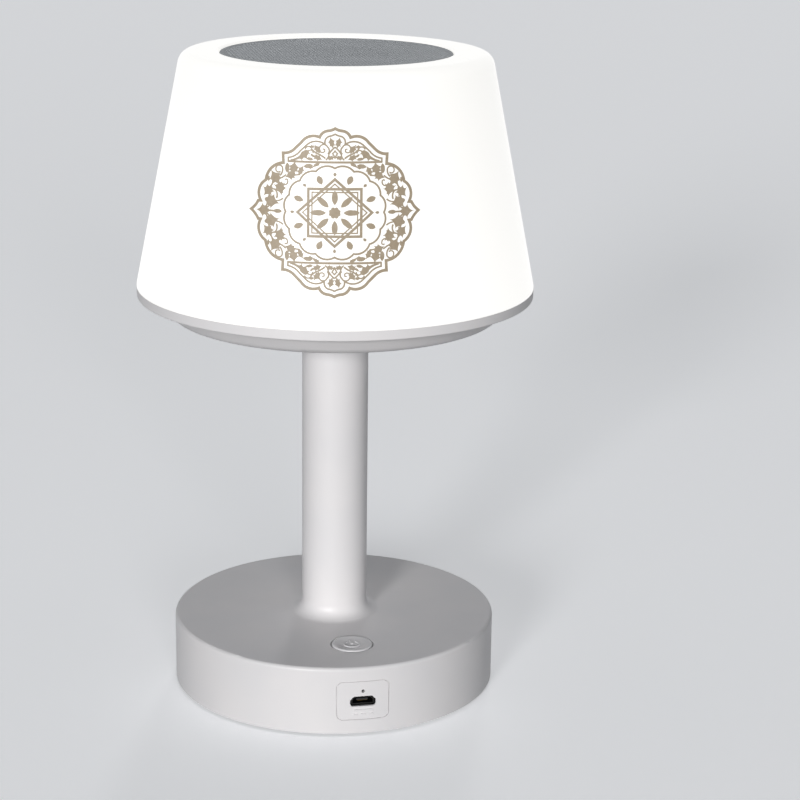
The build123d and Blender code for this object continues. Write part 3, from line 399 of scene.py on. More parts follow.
class RoundWall:
    """A cone or cylinder about Z, with artwork centred on it at one azimuth and height."""

    def __init__(self, name, azimuth, centre, half_height):
        low, high = centre - half_height, centre + half_height
        self.azimuth, self.centre = radians(azimuth), centre
        self.middle = (wall_reach(name, azimuth, low) + wall_reach(name, azimuth, high)) / 2
        self.lean = (wall_reach(name, azimuth, high) - wall_reach(name, azimuth, low)) / (high - low)

    def place(self, x, y, proud):
        """A point of the flat artwork, in millimetres, on the wall and proud of it."""
        rise = y * MM / sqrt(1 + self.lean**2)
        reach = self.middle + self.lean * rise
        angle = self.azimuth + x * MM / reach
        reach += proud * MM
        return Vector((reach * sin(angle), -reach * cos(angle), self.centre + rise))


class TopFace:
    """A part's upper face, level or dished, with the top of the artwork away from the front."""

    reach = 4 * MM

    def __init__(self, name, x, y):
        self.x, self.y = x, y
        self.middle, aside = (self.height(name, x + step) for step in (0, self.reach))
        self.dish = (aside - self.middle) / self.reach**2

    def height(self, name, x):
        """The height of the part's upper face at a place beside the artwork's middle."""
        found, point, _, _ = nodes[name].ray_cast(Vector((x, self.y, far_out)), Vector((0, 0, -1)))
        assert found, (name, x, self.y)
        return point.z

    def place(self, x, y, proud):
        """A point of the flat artwork, in millimetres, on the face and proud of it."""
        rise = self.dish * (hypot(x, y) * MM) ** 2
        return Vector((self.x + x * MM, self.y + y * MM, self.middle + rise + proud * MM))


# %% [markdown]
# ## Strokes and leaves
# Flat artwork needs only two kinds of shape: a stroke of even or tapering width along a line, and
# a filled outline. Curve objects could draw both, but plain points are easier to lay on a wall.
# Curves are arcs: each corner says how far the arc to the next corner bulges, as a share of half
# its chord, so an outline is a short list of corners.


# %% Lines made of arcs
def arc(start, end, bulge, step=0.6):
    """Points along an arc, without its end. It bulges to the left of the way from start to end."""
    (x0, y0), (x1, y1) = start, end
    chord = hypot(x1 - x0, y1 - y0)
    if abs(bulge) < 1e-6:
        count = max(1, round(chord / step))
        return [(x0 + (x1 - x0) * i / count, y0 + (y1 - y0) * i / count) for i in range(count)]
    half = chord / 2
    radius = half * (1 + bulge**2) / (2 * bulge)
    off = (radius - bulge * half) / chord
    cx, cy = (x0 + x1) / 2 + (y1 - y0) * off, (y0 + y1) / 2 - (x1 - x0) * off
    first, second = atan2(y0 - cy, x0 - cx), atan2(y1 - cy, x1 - cx)
    turn = (second - first) % (-2 * pi if bulge > 0 else 2 * pi)
    count = max(2, round(abs(turn * radius) / step))
    angles = [first + turn * i / count for i in range(count)]
    return [(cx + abs(radius) * cos(a), cy + abs(radius) * sin(a)) for a in angles]


def trace(corners, closed=False):
    """The line through corners (x, y, bulge to the next corner)."""
    ends = corners[1:] + (corners[:1] if closed else [])
    points = [p for here, there in zip(corners, ends) for p in arc(here[:2], there[:2], here[2])]
    return points if closed else points + [corners[-1][:2]]


def flipped(points, across=1, up=1):
    """A line mirrored left to right, top to bottom, or both."""
    return [(x * across, y * up) for x, y in points]


# %% Slabs on a surface
class Artwork:
    """Thin closed slabs on a surface, gathered into one mesh. All sizes are in millimetres."""

    # Two directions whose sum is shorter than the hairpin value nearly cancel: no miter there.
    sink, hairpin, widest_miter = 0.05, 0.2, 1.6

    def __init__(self, surface):
        self.surface, self.mesh = surface, bmesh.new()

    def slab(self, rows, proud, closed):
        """Joins rows of points, two or more abreast, into a slab; a closed one meets its start."""
        outer, inner = (
            [[self.mesh.verts.new(self.surface.place(x, y, out)) for x, y in row] for row in rows]
            for out in (proud, -self.sink)
        )
        count = len(rows)
        for i in range(count if closed else count - 1):
            here, there = i, (i + 1) % count
            for layer in (outer, inner):
                self.mesh.faces.new((layer[here][0], layer[there][0], layer[there][1], layer[here][1]))
            for edge in (0, 1):
                side = (outer[here][edge], outer[there][edge], inner[there][edge], inner[here][edge])
                self.mesh.faces.new(side)
        if not closed:
            for end in (0, -1):
                self.mesh.faces.new((outer[end][0], outer[end][1], inner[end][1], inner[end][0]))

    def stroke(self, points, width, proud=0.06, closed=False, tip=None):
        """A line of one width, mitred at its corners. With a tip, it tapers to that width."""
        count, rows = len(points), []
        tip = width if tip is None else tip
        for i, (x, y) in enumerate(points):
            before = points[i - 1] if closed or i else points[0]
            after = points[(i + 1) % count] if closed or i < count - 1 else points[-1]
            into = Vector((x - before[0], y - before[1]))
            out = Vector((after[0] - x, after[1] - y))
            into, out = (into if into.length else out), (out if out.length else into)
            out = out.normalized()
            along = into.normalized() + out
            along = along.normalized() if along.length > self.hairpin else out
            miter = 1 / max(1 / self.widest_miter, along.dot(out))
            half = (width + (tip - width) * i / (count - 1)) / 2 * miter
            aside = Vector((-along.y, along.x)) * half
            rows.append([(x + aside.x, y + aside.y), (x - aside.x, y - aside.y)])
        self.slab(rows, proud, closed)

    def fill(self, outline, proud=0.075):
        """A filled outline."""
        outer, inner = (
            [self.mesh.verts.new(self.surface.place(x, y, out)) for x, y in outline]
            for out in (proud, -self.sink)
        )
        self.mesh.faces.new(outer)
        self.mesh.faces.new(inner[::-1])
        for i in range(len(outline)):
            self.mesh.faces.new((outer[i - 1], outer[i], inner[i], inner[i - 1]))

    def sheet(self, outlines, proud, strip=1.1):
        """A wide filled outline with holes, cut into strips so that it can bend."""
        level = [[Vector((*point, 0)) for point in outline] for outline in outlines]
        flat = bmesh.new()
        points = [flat.verts.new(point) for outline in level for point in outline]
        for triangle in tessellate_polygon(level):
            flat.faces.new([points[i] for i in triangle])
        reach = max(point.co.x for point in points)
        for i in range(int(-reach / strip), int(reach / strip) + 1):
            cut = {"plane_co": (i * strip, 0, 0), "plane_no": (1, 0, 0)}
            bmesh.ops.bisect_plane(flat, geom=flat.verts[:] + flat.edges[:] + flat.faces[:], **cut)
        outer, inner = (
            {v: self.mesh.verts.new(self.surface.place(v.co.x, v.co.y, out)) for v in flat.verts}
            for out in (proud, -self.sink)
        )
        for face in flat.faces:
            self.mesh.faces.new([outer[v] for v in face.verts])
            self.mesh.faces.new([inner[v] for v in reversed(face.verts)])
        for a, b in (edge.verts for edge in flat.edges if edge.is_boundary):
            self.mesh.faces.new((outer[a], outer[b], inner[b], inner[a]))
        flat.free()

    def finish(self, name, material, body):
        """Turns the slabs into a piece that rides on a body."""
        bmesh.ops.recalc_face_normals(self.mesh, faces=self.mesh.faces)
        return add_piece(name, self.mesh, material, body)


def add_piece(name, mesh, material, body):
    """A new piece from a bmesh, with its finish, riding on a CAD body."""
    data = bpy.data.meshes.new(name)
    mesh.to_mesh(data)
    mesh.free()
    data.materials.append(material)
    piece = bpy.data.objects.new(name, data)
    bpy.context.scene.collection.objects.link(piece)
    if body:
        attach(piece, body)
    print(name, len(data.vertices), "points")
    return piece


# %% [markdown]
# ## The printed medallion
# A medallion in warm tan ink is pad printed on the shade, facing the user. Its parts are old
# ornament: an ogee and lobe border, two lunettes behind straight bars, a scalloped ring, and vine
# leaves on curling stems between them. The middle holds an eight-pointed star of two interlaced
# squares with a rosette. A picture wrapped on the shade would blur from near. The ink lies on the
# surface, so it is modelled as a slab a few hundredths of a millimetre proud, with crisp edges.

# %% The medallion's place and its border
medal_azimuth = -10.4
medal_centre = 174.9 * MM
medal_half_width = 26.6
medal_half_height = 25.7
border_line = 0.9

medal_wall = RoundWall("shade", medal_azimuth, medal_centre, medal_half_height * MM)
medal = Artwork(medal_wall)


def scaled(corners):
    """Corners given as shares of the medallion's half width and half height, in millimetres."""
    return [(x * medal_half_width, y * medal_half_height, bulge) for x, y, bulge in corners]


def all_round(quarter):
    """A closed line from its upper right quarter, which runs from the top to the right."""
    right = quarter + flipped(quarter[::-1], up=-1)[1:]
    return right[:-1] + flipped(right[::-1], across=-1)[:-1]


border_quarter = trace(scaled([
    (0.000, 0.992, -0.12),
    (0.080, 0.965, 0.30),
    (0.176, 0.888, 0.36),
    (0.386, 0.824, 0.00),
    (0.462, 0.748, -0.22),
    (0.604, 0.688, 0.00),
    (0.598, 0.573, 0.36),
    (0.812, 0.356, 0.44),
    (0.872, 0.108, 0.00),
    (0.905, 0.108, -0.12),
    (0.996, 0.000, 0.00),
]))
medal.stroke(all_round(border_quarter), border_line, closed=True)
print("border points", len(border_quarter) * 4)

# %% Lunettes, bars and the scalloped ring
bar_half, bar_rise, bar_proud = 0.540, 0.595, 0.07
bar_line, lunette_line, ring_line = 0.66, 0.52, 0.58

lunette_half = trace(scaled([
    (0.000, 0.926, -0.10),
    (0.072, 0.900, 0.42),
    (0.112, 0.804, 0.38),
    (0.332, 0.788, 0.00),
    (0.400, 0.722, -0.20),
    (0.540, 0.638, 0.00),
    (bar_half, bar_rise, 0.00),
    (0.000, bar_rise, 0.00),
]))
lunette = lunette_half[:-1] + flipped(lunette_half[::-1], across=-1)[:-1]
bar = trace(scaled([(-bar_half, bar_rise, 0), (bar_half, bar_rise, 0)]))
for up in (1, -1):
    medal.stroke(flipped(lunette, up=up), lunette_line, closed=True)
    medal.stroke(flipped(bar, up=up), bar_line, bar_proud)

scallops, ring_across, ring_up, scallop_bulge = 16, 0.570, 0.525, 0.38
cusps = [pi / 2 - 2 * pi * i / scallops for i in range(scallops)]
ring = scaled([(ring_across * cos(a), ring_up * sin(a), scallop_bulge) for a in cusps])
medal.stroke(trace(ring, closed=True), ring_line, closed=True)


# %% [markdown]
# Vine leaves and buds repeat all over the border. Each is one outline, drawn pointing right with
# its middle at the origin and its length as 1, then turned, sized and mirrored into the four
# quarters: a row says which leaf, where, its heading in degrees and its size. Thin stems join the
# leaves, and some end in a curl; a row gives a stem's corners, its width and the width of its tip.

# %% Leaves, buds and stems
vine_leaf = [
    (-0.50, 0.05, 0.10), (-0.34, 0.16, -0.25), (-0.38, 0.46, -0.25), (-0.10, 0.30, -0.25),
    (0.04, 0.52, -0.25), (0.14, 0.24, -0.25), (0.56, 0.00, -0.25), (0.14, -0.24, -0.25),
    (0.04, -0.52, -0.25), (-0.10, -0.30, -0.25), (-0.38, -0.46, -0.25), (-0.34, -0.16, 0.10),
    (-0.50, -0.05, 0.00),
]
slim_leaf = [(x, 0.62 * y, bulge) for x, y, bulge in vine_leaf]
tail_leaf = [
    (-0.34, -0.02, 0.40), (-0.42, 0.20, 0.40), (-0.20, 0.24, 0.25), (0.04, 0.08, -0.15),
    (0.60, -0.02, 0.00), (0.58, -0.10, 0.10), (0.12, -0.10, -0.30), (0.02, -0.26, -0.30),
    (-0.10, -0.10, -0.30), (-0.26, -0.26, -0.25),
]
bud = [(-0.50, 0.00, 0.30), (0.05, 0.22, 0.25), (0.50, 0.00, 0.25), (0.05, -0.22, 0.30)]


def put(shape, x, y, heading, size):
    """A closed shape at a share of the medallion's size, turned, in millimetres."""
    turn, scale = radians(heading), size * medal_half_width
    corners = [
        (
            x * medal_half_width + scale * (a * cos(turn) - b * sin(turn)),
            y * medal_half_height + scale * (a * sin(turn) + b * cos(turn)),
            bulge,
        )
        for a, b, bulge in shape
    ]
    return trace(corners, closed=True)


side_leaves = [
    (vine_leaf, 0.734, 0.112, 194, 0.185),
    (vine_leaf, 0.787, 0.230, 312, 0.150),
    (vine_leaf, 0.634, 0.266, 258, 0.158),
    (vine_leaf, 0.700, 0.405, 58, 0.172),
    (slim_leaf, 0.778, 0.372, 262, 0.080),
    (vine_leaf, 0.518, 0.430, 338, 0.130),
    (vine_leaf, 0.472, 0.528, 98, 0.140),
    (bud, 0.552, 0.518, 92, 0.115),
    (slim_leaf, 0.388, 0.502, 118, 0.130),
    (bud, 0.306, 0.548, 172, 0.110),
    (bud, 0.212, 0.564, 158, 0.080),
]
lunette_leaves = [
    (slim_leaf, 0.042, 0.836, 76, 0.135),
    (slim_leaf, 0.060, 0.646, 350, 0.105),
    (slim_leaf, 0.210, 0.757, 58, 0.128),
    (slim_leaf, 0.268, 0.778, 8, 0.070),
    (slim_leaf, 0.192, 0.645, 203, 0.128),
    (tail_leaf, 0.388, 0.660, 344, 0.225),
    (bud, 0.288, 0.632, 190, 0.080),
    (bud, 0.258, 0.672, 40, 0.060),
]
stems = [
    ([(0.600, 0.155, -0.20), (0.690, 0.120, 0.0)], 0.50, 0.40),
    ([(0.812, 0.030, 0.55), (0.768, 0.165, 0.0)], 0.55, 0.42),
    ([(0.680, 0.150, 0.35), (0.700, 0.255, -0.35), (0.755, 0.290, 0.0)], 0.55, 0.42),
    ([(0.755, 0.285, 0.35), (0.735, 0.385, 0.0)], 0.55, 0.42),
    ([(0.606, 0.215, -0.20), (0.620, 0.340, 0.85), (0.545, 0.355, 0.85), (0.580, 0.375, 0.0)], 0.52, 0.36),
    ([(0.640, 0.420, 0.30), (0.610, 0.520, 0.75), (0.690, 0.500, 0.80), (0.632, 0.472, 0.0)], 0.52, 0.36),
    ([(0.565, 0.435, -0.10), (0.665, 0.375, 0.0)], 0.50, 0.42),
    ([(0.375, 0.475, 0.15), (0.410, 0.440, 0.12), (0.490, 0.422, 0.0)], 0.54, 0.42),
    ([(0.180, 0.568, 0.10), (0.280, 0.520, 0.10), (0.360, 0.540, 0.0)], 0.45, 0.36),
    ([(0.000, 0.775, 0.10), (0.070, 0.690, -0.20), (0.105, 0.620, 0.0)], 0.52, 0.42),
    ([(0.000, 0.640, 0.10), (0.028, 0.700, 0.20), (0.000, 0.735, 0.0)], 0.48, 0.40),
    (
        [(0.082, 0.690, 0.45), (0.085, 0.775, 0.85), (0.178, 0.750, 0.80), (0.118, 0.722, 0.80),
         (0.142, 0.752, 0.0)],
        0.52, 0.36,
    ),
    ([(0.110, 0.640, 0.10), (0.215, 0.700, -0.05), (0.262, 0.740, 0.80), (0.345, 0.745, 0.0)], 0.54, 0.42),
    ([(0.250, 0.700, 0.70), (0.300, 0.730, 0.70), (0.290, 0.690, 0.0)], 0.46, 0.34),
]

stem_proud, side_stem_line = 0.05, 0.55
for up in (1, -1):
    for across in (1, -1):
        for leaf in side_leaves + lunette_leaves:
            medal.fill(flipped(put(*leaf), across, up))
        for corners, width, tip in stems:
            stem = flipped(trace(scaled(corners)), across, up)
            medal.stroke(stem, width, stem_proud, tip=tip)
side_stem = trace(scaled([(0.69, 0, 0), (0.80, 0, 0)]))
for across in (1, -1):
    medal.fill(flipped(put(vine_leaf, 0.848, 0.000, 0, 0.165), across))
    medal.fill(flipped(put(bud, 0.665, 0.000, 180, 0.105), across))
    medal.stroke(flipped(side_stem, across), side_stem_line, stem_proud)
print("vines done")

# %% [markdown]
# The star in the middle is pure geometry: two double squares, one of them turned by 45 degrees,
# and a rosette of eight petals round a small flower. Eight drops and eight buds fill the gaps
# between the star and the ring. The turned square's ink lies two hundredths of a millimetre over
# the other's, so that no two faces coincide where they cross.

# %% The star and its rosette
star_reach, inner_star_reach, flower_reach = 0.430, 0.3698, 0.062
petal, drop, star_bud = (0.100, 0.285, 9), (0.390, 0.510, 4.5), (0.465, 0.515, 2.2)
squeeze = ring_up / ring_across


def polar(reach, angle, bulge=0.0):
    """A corner at a reach and an angle in degrees, squeezed as the ring is."""
    return (reach * cos(radians(angle)), reach * squeeze * sin(radians(angle)), bulge)


def leaf_between(near, far, spread, angle):
    """A pointed oval from one reach to another, widest a little beyond its middle."""
    widest, bulge = near + (far - near) * 0.62, 0.25
    sides = [(near, 0), (widest, spread), (far, 0), (widest, -spread)]
    corners = scaled([polar(reach, angle + aside, bulge) for reach, aside in sides])
    return trace(corners, closed=True)


for turn, proud in ((0, 0.06), (45, 0.078)):
    for reach, width in ((star_reach, 0.8), (inner_star_reach, 0.4)):
        square = scaled([polar(reach, turn - 90 * i) for i in range(4)])
        medal.stroke(trace(square, closed=True), width, proud, closed=True)
for i in range(8):
    medal.fill(leaf_between(*petal, 45 * i))
    medal.fill(leaf_between(*drop, 45 * i + 22.5))
    medal.fill(leaf_between(*star_bud, 45 * i))
flower = scaled([polar(flower_reach, 90 - 45 * i, 0.7) for i in range(8)])
medal.fill(trace(flower, closed=True))

tan_ink, tree, shader = start_material("tan_pad_printing_ink", Roughness=0.5, IOR=1.5)
patchy = between(tree, grain(tree, 1.5), 0, 1)
tree.links.new(two_tone(tree, patchy, "#AFA08A", "#A6967F"), shader.inputs["Base Color"])
medal.finish("printed_medallion", tan_ink, "lamp")

# %% [markdown]
# ## The fine grille
# The grille is a sheet of grey painted steel with square holes in diagonal rows, less than two
# millimetres apart, and a rolled rim. The CAD part carries its outline with larger holes. Cutting
# so many holes with a Boolean would be slow and leave slivers. So the sheet is built up instead: a
# grid of lines at the holes' edges, turned by 45 degrees, whose cells are left out where a hole is.
# The rim is a turned ring over its edge.

# %% The perforated sheet
hole, pitch = 1.0 * MM, 1.55 * MM
sheet_thickness, sheet_sink, sheet_inset = 0.45 * MM, 0.12 * MM, 0.25 * MM
rim_width = 1.7 * MM
grille_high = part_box("grille")[1]
rim_radius = grille_high.x
sheet_high = grille_high.z - sheet_sink
sheet_low = sheet_high - sheet_thickness
last_hole = rim_radius - rim_width - hole / 2
sheet_edge = rim_radius - sheet_inset


def grid_line(index):
    """The place of a grid line: even ones start a hole, odd ones end it."""
    return (index // 2) * pitch + (hole / 2 if index % 2 else -hole / 2)


lines = 2 * int(rim_radius / pitch) + 2
sheet = bmesh.new()
corners = {}


def corner(column, row, height):
    """The grid's corner, made once, with the grid turned by 45 degrees."""
    key = (column, row, height)
    if key not in corners:
        x, y = grid_line(column), grid_line(row)
        corners[key] = sheet.verts.new(((x - y) / sqrt(2), (x + y) / sqrt(2), height))
    return corners[key]


def is_solid(column, row):
    """True for a cell of metal: within the sheet's edge and not a hole."""
    ends = [(grid_line(column + a), grid_line(row + b)) for a in (0, 1) for b in (0, 1)]
    if max(hypot(x, y) for x, y in ends) > sheet_edge:
        return False
    if column % 2 or row % 2:
        return True
    return hypot(column // 2 * pitch, row // 2 * pitch) > last_hole


for column in range(-lines, lines):
    for row in range(-lines, lines):
        if not is_solid(column, row):
            continue
        around = [(column, row), (column + 1, row), (column + 1, row + 1), (column, row + 1)]
        sheet.faces.new([corner(*place, sheet_high) for place in around])
        sheet.faces.new([corner(*place, sheet_low) for place in around[::-1]])
        for k, (a, b) in enumerate(((0, -1), (1, 0), (0, 1), (-1, 0))):
            if not is_solid(column + a, row + b):
                first, second = around[k], around[(k + 1) % 4]
                wall = [corner(*first, sheet_high), corner(*first, sheet_low)]
                wall += [corner(*second, sheet_low), corner(*second, sheet_high)]
                sheet.faces.new(wall)

# %% The rim, and the grille's paint
rim_steps, rim_turns = 8, 120
rim_low, rim_top = sheet_low - 0.1 * MM, grille_high.z
rim_inside = rim_radius - rim_width
rim_round, chamfer_across, chamfer_down = sheet_sink + 0.35 * MM, 0.2 * MM, 0.15 * MM
profile = [(rim_inside, rim_low), (rim_radius, rim_low), (rim_radius, rim_top - rim_round)]
for i in range(1, rim_steps + 1):
    angle = pi / 2 * i / rim_steps
    inwards, down = rim_round * (1 - cos(angle)), rim_round * (1 - sin(angle))
    profile.append((rim_radius - inwards, rim_top - down))
profile += [(rim_inside + chamfer_across, rim_top), (rim_inside, rim_top - chamfer_down)]


def turn_profile(mesh, outline, start, sweep, steps):
    """Turns a closed (radius, height) outline about Z; a part turn gets its two end faces."""
    full = sweep >= 2 * pi
    rings = [
        [
            mesh.verts.new((r * sin(start + sweep * i / steps), -r * cos(start + sweep * i / steps), z))
            for r, z in outline
        ]
        for i in range(steps if full else steps + 1)
    ]
    for i in range(steps):
        here, there = rings[i], rings[(i + 1) % len(rings)]
        for k in range(len(outline)):
            mesh.faces.new((here[k - 1], here[k], there[k], there[k - 1]))
    if not full:
        mesh.faces.new(rings[0])
        mesh.faces.new(rings[-1][::-1])


turn_profile(sheet, profile, 0, 2 * pi, rim_turns)
bmesh.ops.recalc_face_normals(sheet, faces=sheet.faces)
grille_paint = moulded("grey_painted_steel", "#AEB1B4", "#A5A8AB", 0.45, 1.5, texture=0.6, depth=0.006)
dress(grille_paint, "grille")
grille = add_piece("perforated_grille", sheet, grille_paint, "lamp")
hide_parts("grille")

# %% [markdown]
# ## Raised marks
# The button carries a power sign, a broken ring with a bar, in the dish of its cap. Under the
# charging socket stands the sign for direct current, a bar over three dashes. Both are signs of
# the trade, not anyone's mark. They are as white as the plastic and show by their relief.

# %% The power sign
button_low, button_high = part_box("power_button")
button_centre = (button_low + button_high) / 2
power_radius, power_width, power_relief = 2.5, 0.75, 0.22
half_gap, power_steps = 38, 40
bar_foot, bar_middle, bar_head = 0.4, 1.8, 3.2

power_sign = Artwork(TopFace("power_button", button_centre.x, button_centre.y))
sweep = [90 + half_gap + (360 - 2 * half_gap) * i / power_steps for i in range(power_steps + 1)]
ring_points = [(power_radius * cos(radians(a)), power_radius * sin(radians(a))) for a in sweep]
power_sign.stroke(ring_points, power_width, power_relief)
power_sign.stroke([(0, y) for y in (bar_foot, bar_middle, bar_head)], power_width, power_relief)
power_sign.finish("power_sign", button_abs, "power_button")

# %% [markdown]
# A black collar fills the space between the metal socket and its opening in the base. It is near
# black and barely reflects: painted shade for the dark inside of the opening. It has the socket's
# own outline, wide below with its two upper corners cut off.

# %% The socket's collar
socket_low, socket_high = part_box("usb_shell")
socket_centre = (socket_low + socket_high) / 2


def socket_outline(width, height, cut, y):
    """The outline at one depth, from its size in millimetres."""
    half, top = width / 2, height / 2
    right = [(half, -top), (half, top - cut), (half - cut, top)]
    left = [(-x, z) for x, z in right[::-1]]
    return [Vector((x * MM, y, socket_centre.z + z * MM)) for x, z in right + left]


collar_front, collar_back = socket_low.y - 0.3 * MM, socket_low.y + 1.0 * MM
opening, socket_skin = (8.45, 3.45, 1.38), (7.5, 2.7, 1.1)
edges = [(opening, collar_front), (socket_skin, collar_front)]
edges += [(socket_skin, collar_back), (opening, collar_back)]
collar = bmesh.new()
loops = [[collar.verts.new(point) for point in socket_outline(*size, y)] for size, y in edges]
for i in range(len(loops)):
    for k in range(len(loops[i])):
        collar.faces.new((loops[i - 1][k - 1], loops[i - 1][k], loops[i][k], loops[i][k - 1]))
bmesh.ops.recalc_face_normals(collar, faces=collar.faces)
# Near black with little reflection: painted shade inside the socket's opening.
painted_shade_foam = matt("black_painted_shade_foam", "#0B0B0C", "#121213", 0.95, 0.6, 0.05, Specular_IOR_Level=0.2)
add_piece("socket_collar", collar, painted_shade_foam, "lamp")

# %% [markdown]
# The panel round the socket is an insert, flush with the wall, and a fine groove runs round it.
# Its flat outline has two holes: a window with the socket's outline, softer at its corners, and a
# pin hole for the charging light. It is cut into narrow strips before it is bent onto the wall,
# so that it stays round, and then it is given its thickness.

# %% The panel's insert
panel_width, panel_height, panel_corner, panel_depth, groove = 17.6, 13.6, 2.2, 0.5, 0.3
panel_centre, panel_read = 12.3 * MM, 6.0 * MM
window_size, window_corners, window_bulge = (8.5, 3.5), (1.4, 0.9), 0.12
pin_above_table, pin_radius, pin_steps = 15.5, 0.6, 16
insert_sink = 0.02
# The bulge of an arc that turns by a quarter.
quarter_turn = 0.4142


def rounded(width, height, upper, lower, upper_bulge=quarter_turn):
    """A rectangle with round corners; a small upper bulge cuts the upper corners nearly straight."""
    x, y = width / 2, height / 2
    return trace([
        (-x, y - upper, upper_bulge), (upper - x, y, 0),
        (x - upper, y, upper_bulge), (x, y - upper, 0),
        (x, lower - y, quarter_turn), (x - lower, -y, 0),
        (lower - x, -y, quarter_turn), (-x, lower - y, 0),
    ], closed=True)


window_height = (socket_centre.z - panel_centre) / MM
window = rounded(*window_size, *window_corners, window_bulge)
window_line = [(x, y + window_height) for x, y in window]
pin_height = pin_above_table - panel_centre / MM
pin_angles = [2 * pi * i / pin_steps for i in range(pin_steps)]
pin_line = [(pin_radius * cos(a), pin_height + pin_radius * sin(a)) for a in pin_angles]
insert_corner = panel_corner - groove
insert_size = (panel_width - 2 * groove, panel_height - 2 * groove)
panel_line = rounded(*insert_size, insert_corner, insert_corner)

insert = Artwork(RoundWall("base_shell", 0, panel_centre, panel_read))
insert.sheet([panel_line, window_line, pin_line], proud=panel_depth - insert_sink)
insert.finish("panel_insert", satin_abs, "lamp")

# %% The direct current sign
mark_drop, mark_read = 2.5 * MM, 1.0 * MM
mark_half, mark_line, mark_gap, mark_relief = 3.2, 0.65, 1.5, 0.36
mark_proud = panel_depth + mark_relief
dash = 2 * mark_half / 5

current_mark = Artwork(RoundWall("base_shell", 0, socket_low.z - mark_drop, mark_read))
full_bar = [(x, mark_gap / 2) for x in (-mark_half, 0, mark_half)]
current_mark.stroke(full_bar, mark_line, mark_proud)
for i in (-2, 0, 2):
    ends = [((i + side) * dash, -mark_gap / 2) for side in (-0.5, 0.5)]
    current_mark.stroke(ends, mark_line, mark_proud)
current_mark.finish("direct_current_sign", satin_abs, "lamp")

# %% [markdown]
# ## The post's foot
# The post ends in a flare that runs out onto the base. A fillet between the two would need them to
# be one mesh, so a thin feathered ring carries the flare's slope on past its edge and lays it flat
# on the base's top.

# %% The foot's feathered edge
base_top = TopFace("base_shell", 30 * MM, 0).middle
start_lift, upper_lift, end_lift = 0.42 * MM, 0.6 * MM, 0.02 * MM
feather_lap, feather_sink, feather_steps, feather_turns = 0.5 * MM, 0.2 * MM, 6, 96

foot_reach, upper_reach = (
    wall_reach("post", 90, base_top + lift) for lift in (start_lift, upper_lift)
)
flare = (foot_reach - upper_reach) / (upper_lift - start_lift)
run_out = 2 * flare * (start_lift - end_lift)
feather = [(foot_reach - feather_lap, base_top - feather_sink)]
for i in range(feather_steps + 1):
    share = i / feather_steps
    lift = end_lift + (start_lift - end_lift) * (1 - share) ** 2
    feather.append((foot_reach + run_out * share, base_top + lift))
feather.append((foot_reach + run_out, base_top - feather_sink))
ring_mesh = bmesh.new()
turn_profile(ring_mesh, feather, 0, 2 * pi, feather_turns)
bmesh.ops.recalc_face_normals(ring_mesh, faces=ring_mesh.faces)
add_piece("foot_feather", ring_mesh, satin_abs, "lamp")
print("foot run out in mm", round(run_out / MM, 2))

# %% [markdown]
# ## The speaker's surround and spider
# The cone hangs on two soft rings. The surround is a rubber half roll between the cone's rim and
# the basket. The spider is pleated cloth between the coil and the basket's ledge. When the cone
# moves, their outer edges stay and their inner edges follow it. Here each ring is built as eight
# sectors, each a part turn of its outline; the sectors are still pieces that do not bend.

# %% Soft rings in sectors
sectors, steps_in_sector = 8, 6


def soft_ring(name, outline, material):
    """A turned ring in sectors, each its own piece, in place of the CAD ring, which is hidden."""
    for i in range(sectors):
        middle = 2 * pi * (i + 0.5) / sectors
        mesh = bmesh.new()
        turn_profile(mesh, outline, middle - pi / sectors, 2 * pi / sectors, steps_in_sector)
        bmesh.ops.recalc_face_normals(mesh, faces=mesh.faces)
        piece = add_piece(f"{name}_{i + 1}", mesh, material, None)
        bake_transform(piece)
        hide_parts(name)


surround_low, surround_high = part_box("surround")
skin, lip, roll_steps = 0.5 * MM, 1.4 * MM, 10
roll_out = surround_high.x - lip
roll_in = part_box("cone")[1].x
roll_middle, roll_radius = (roll_out + roll_in) / 2, (roll_out - roll_in) / 2
under = [(roll_in - lip, surround_low.z)]
for i in range(roll_steps + 1):
    angle = pi - pi * i / roll_steps
    under.append((roll_middle + roll_radius * cos(angle), surround_low.z + roll_radius * sin(angle)))
under.append((surround_high.x, surround_low.z))
roll = under + [(r, z + skin) for r, z in under[::-1]]
soft_ring("surround", roll, pad_rubber)

spider_low, spider_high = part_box("spider")
winding, cloth, land, pleats = 0.45 * MM, 0.4 * MM, 1.3 * MM, 4
coil_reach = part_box("voice_coil")[1].x - winding
wave = spider_high.z - spider_low.z - cloth
pleat_in, pleat_out = coil_reach + cloth, spider_high.x - land
pleat_points = 8 * pleats
lower = [(coil_reach, spider_low.z)]
for i in range(pleat_points + 1):
    share = i / pleat_points
    lift = wave * (1 - cos(2 * pi * pleats * share)) / 2
    lower.append((pleat_in + (pleat_out - pleat_in) * share, spider_low.z + lift))
lower.append((spider_high.x, spider_low.z))
pleated = lower + [(r, z + cloth) for r, z in lower[::-1]]
soft_ring("spider", pleated, spider_cloth)

# %% [markdown]
# ## Light, floor and background
# Two distant suns with soft shadows stand low in front of the lamp, the stronger one on the left,
# so the base's side is brighter than its top, and the post throws two soft shadows that overlap
# behind it. A third stands low behind the lamp and lights its back. Only the first shows in
# reflections, so neither of the others glares on the grille or on the base's top when that is seen
# against the light. The world adds a little cool light. The floor and the background are pale
# grey, darker than the shade, so the glow stands out. The camera sees the floor brighter than it
# lights the lamp, through a share of emission that leaves the shadows in place.


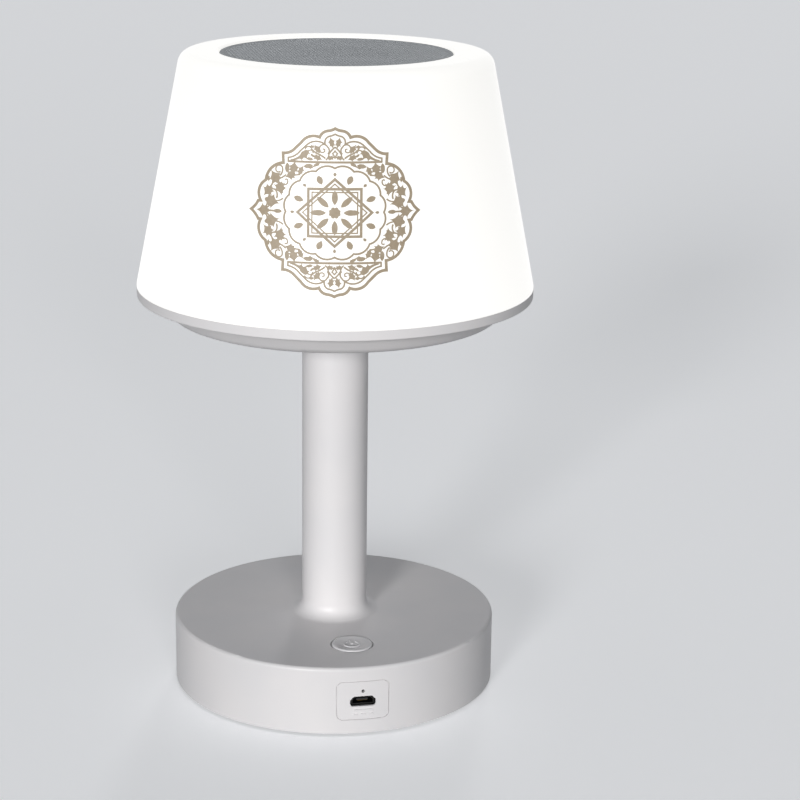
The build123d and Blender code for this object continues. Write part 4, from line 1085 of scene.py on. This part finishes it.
# %% Lights
def soft_sun(name, azimuth, elevation, spread, level, mirrored=True):
    """A distant light with a spread in degrees, seen in reflections where it is mirrored.

    At level 1 it makes a white surface that faces it render white.
    """
    data = bpy.data.lights.new(name, "SUN")
    data.angle = radians(spread)
    data.energy = level * pi
    turn, lift = radians(azimuth), radians(elevation)
    back = Vector((sin(turn) * cos(lift), -cos(turn) * cos(lift), sin(lift)))
    light = bpy.data.objects.new(name, data)
    light.rotation_euler = back.to_track_quat("Z", "Y").to_euler()
    light.visible_glossy = mirrored
    bpy.context.scene.collection.objects.link(light)


soft_sun("key_light", -30, 13, 12, 0.60)
soft_sun("fill_light", 0, 12, 14, 0.32, mirrored=False)
soft_sun("back_light", 162, 5, 9, 0.64, mirrored=False)


def seen_directly(tree):
    """1 for rays from the camera, and for those that a mirror or glass passes on."""
    ray = add_node(tree, "ShaderNodeLightPath").outputs
    either = add_node(tree, "ShaderNodeMath", inputs={0: ray["Is Camera Ray"], 1: ray["Is Glossy Ray"]})
    summed = {0: either.outputs[0], 1: ray["Is Transmission Ray"]}
    return add_node(tree, "ShaderNodeMath", {"use_clamp": True}, summed).outputs[0]


# %% Floor and world
floor_size, floor_glow = 6, 0.5
floor_mesh = bmesh.new()
bmesh.ops.create_grid(floor_mesh, x_segments=8, y_segments=8, size=floor_size)
floor_finish, tree, shader = start_material(
    "pale_paper_floor", Roughness=0.9, IOR=1.4, Emission_Color=linear("#E6E7E9")
)
fibres = between(tree, grain(tree, 2.5, detail=4.0), 0, 1)
paper = two_tone(tree, fibres, "#DFE0E2", "#DBDCDE")
direct = seen_directly(tree)
tones = {0: direct, 6: linear("#77787A"), 7: paper}
tone = add_node(tree, "ShaderNodeMix", {"data_type": "RGBA"}, tones)
tree.links.new(tone.outputs[2], shader.inputs["Base Color"])
share = add_node(tree, "ShaderNodeMath", {"operation": "MULTIPLY"}, {0: direct, 1: floor_glow})
tree.links.new(share.outputs[0], shader.inputs["Emission Strength"])
floor = add_piece("floor", floor_mesh, floor_finish, None)

world = bpy.data.worlds.new("studio")
bpy.context.scene.world = world
world.use_nodes = True
tree = world.node_tree
tree.nodes.clear()
ambient = add_node(tree, "ShaderNodeBackground", inputs={"Color": linear("#DCE8F6"), "Strength": 0.08})
backdrop = add_node(tree, "ShaderNodeBackground", inputs={"Color": linear("#D3D5D7"), "Strength": 1.0})
mixed = add_node(
    tree,
    "ShaderNodeMixShader",
    inputs={0: seen_directly(tree), 1: ambient.outputs[0], 2: backdrop.outputs[0]},
)
add_node(tree, "ShaderNodeOutputWorld", inputs={"Surface": mixed.outputs[0]})
print("stage done")
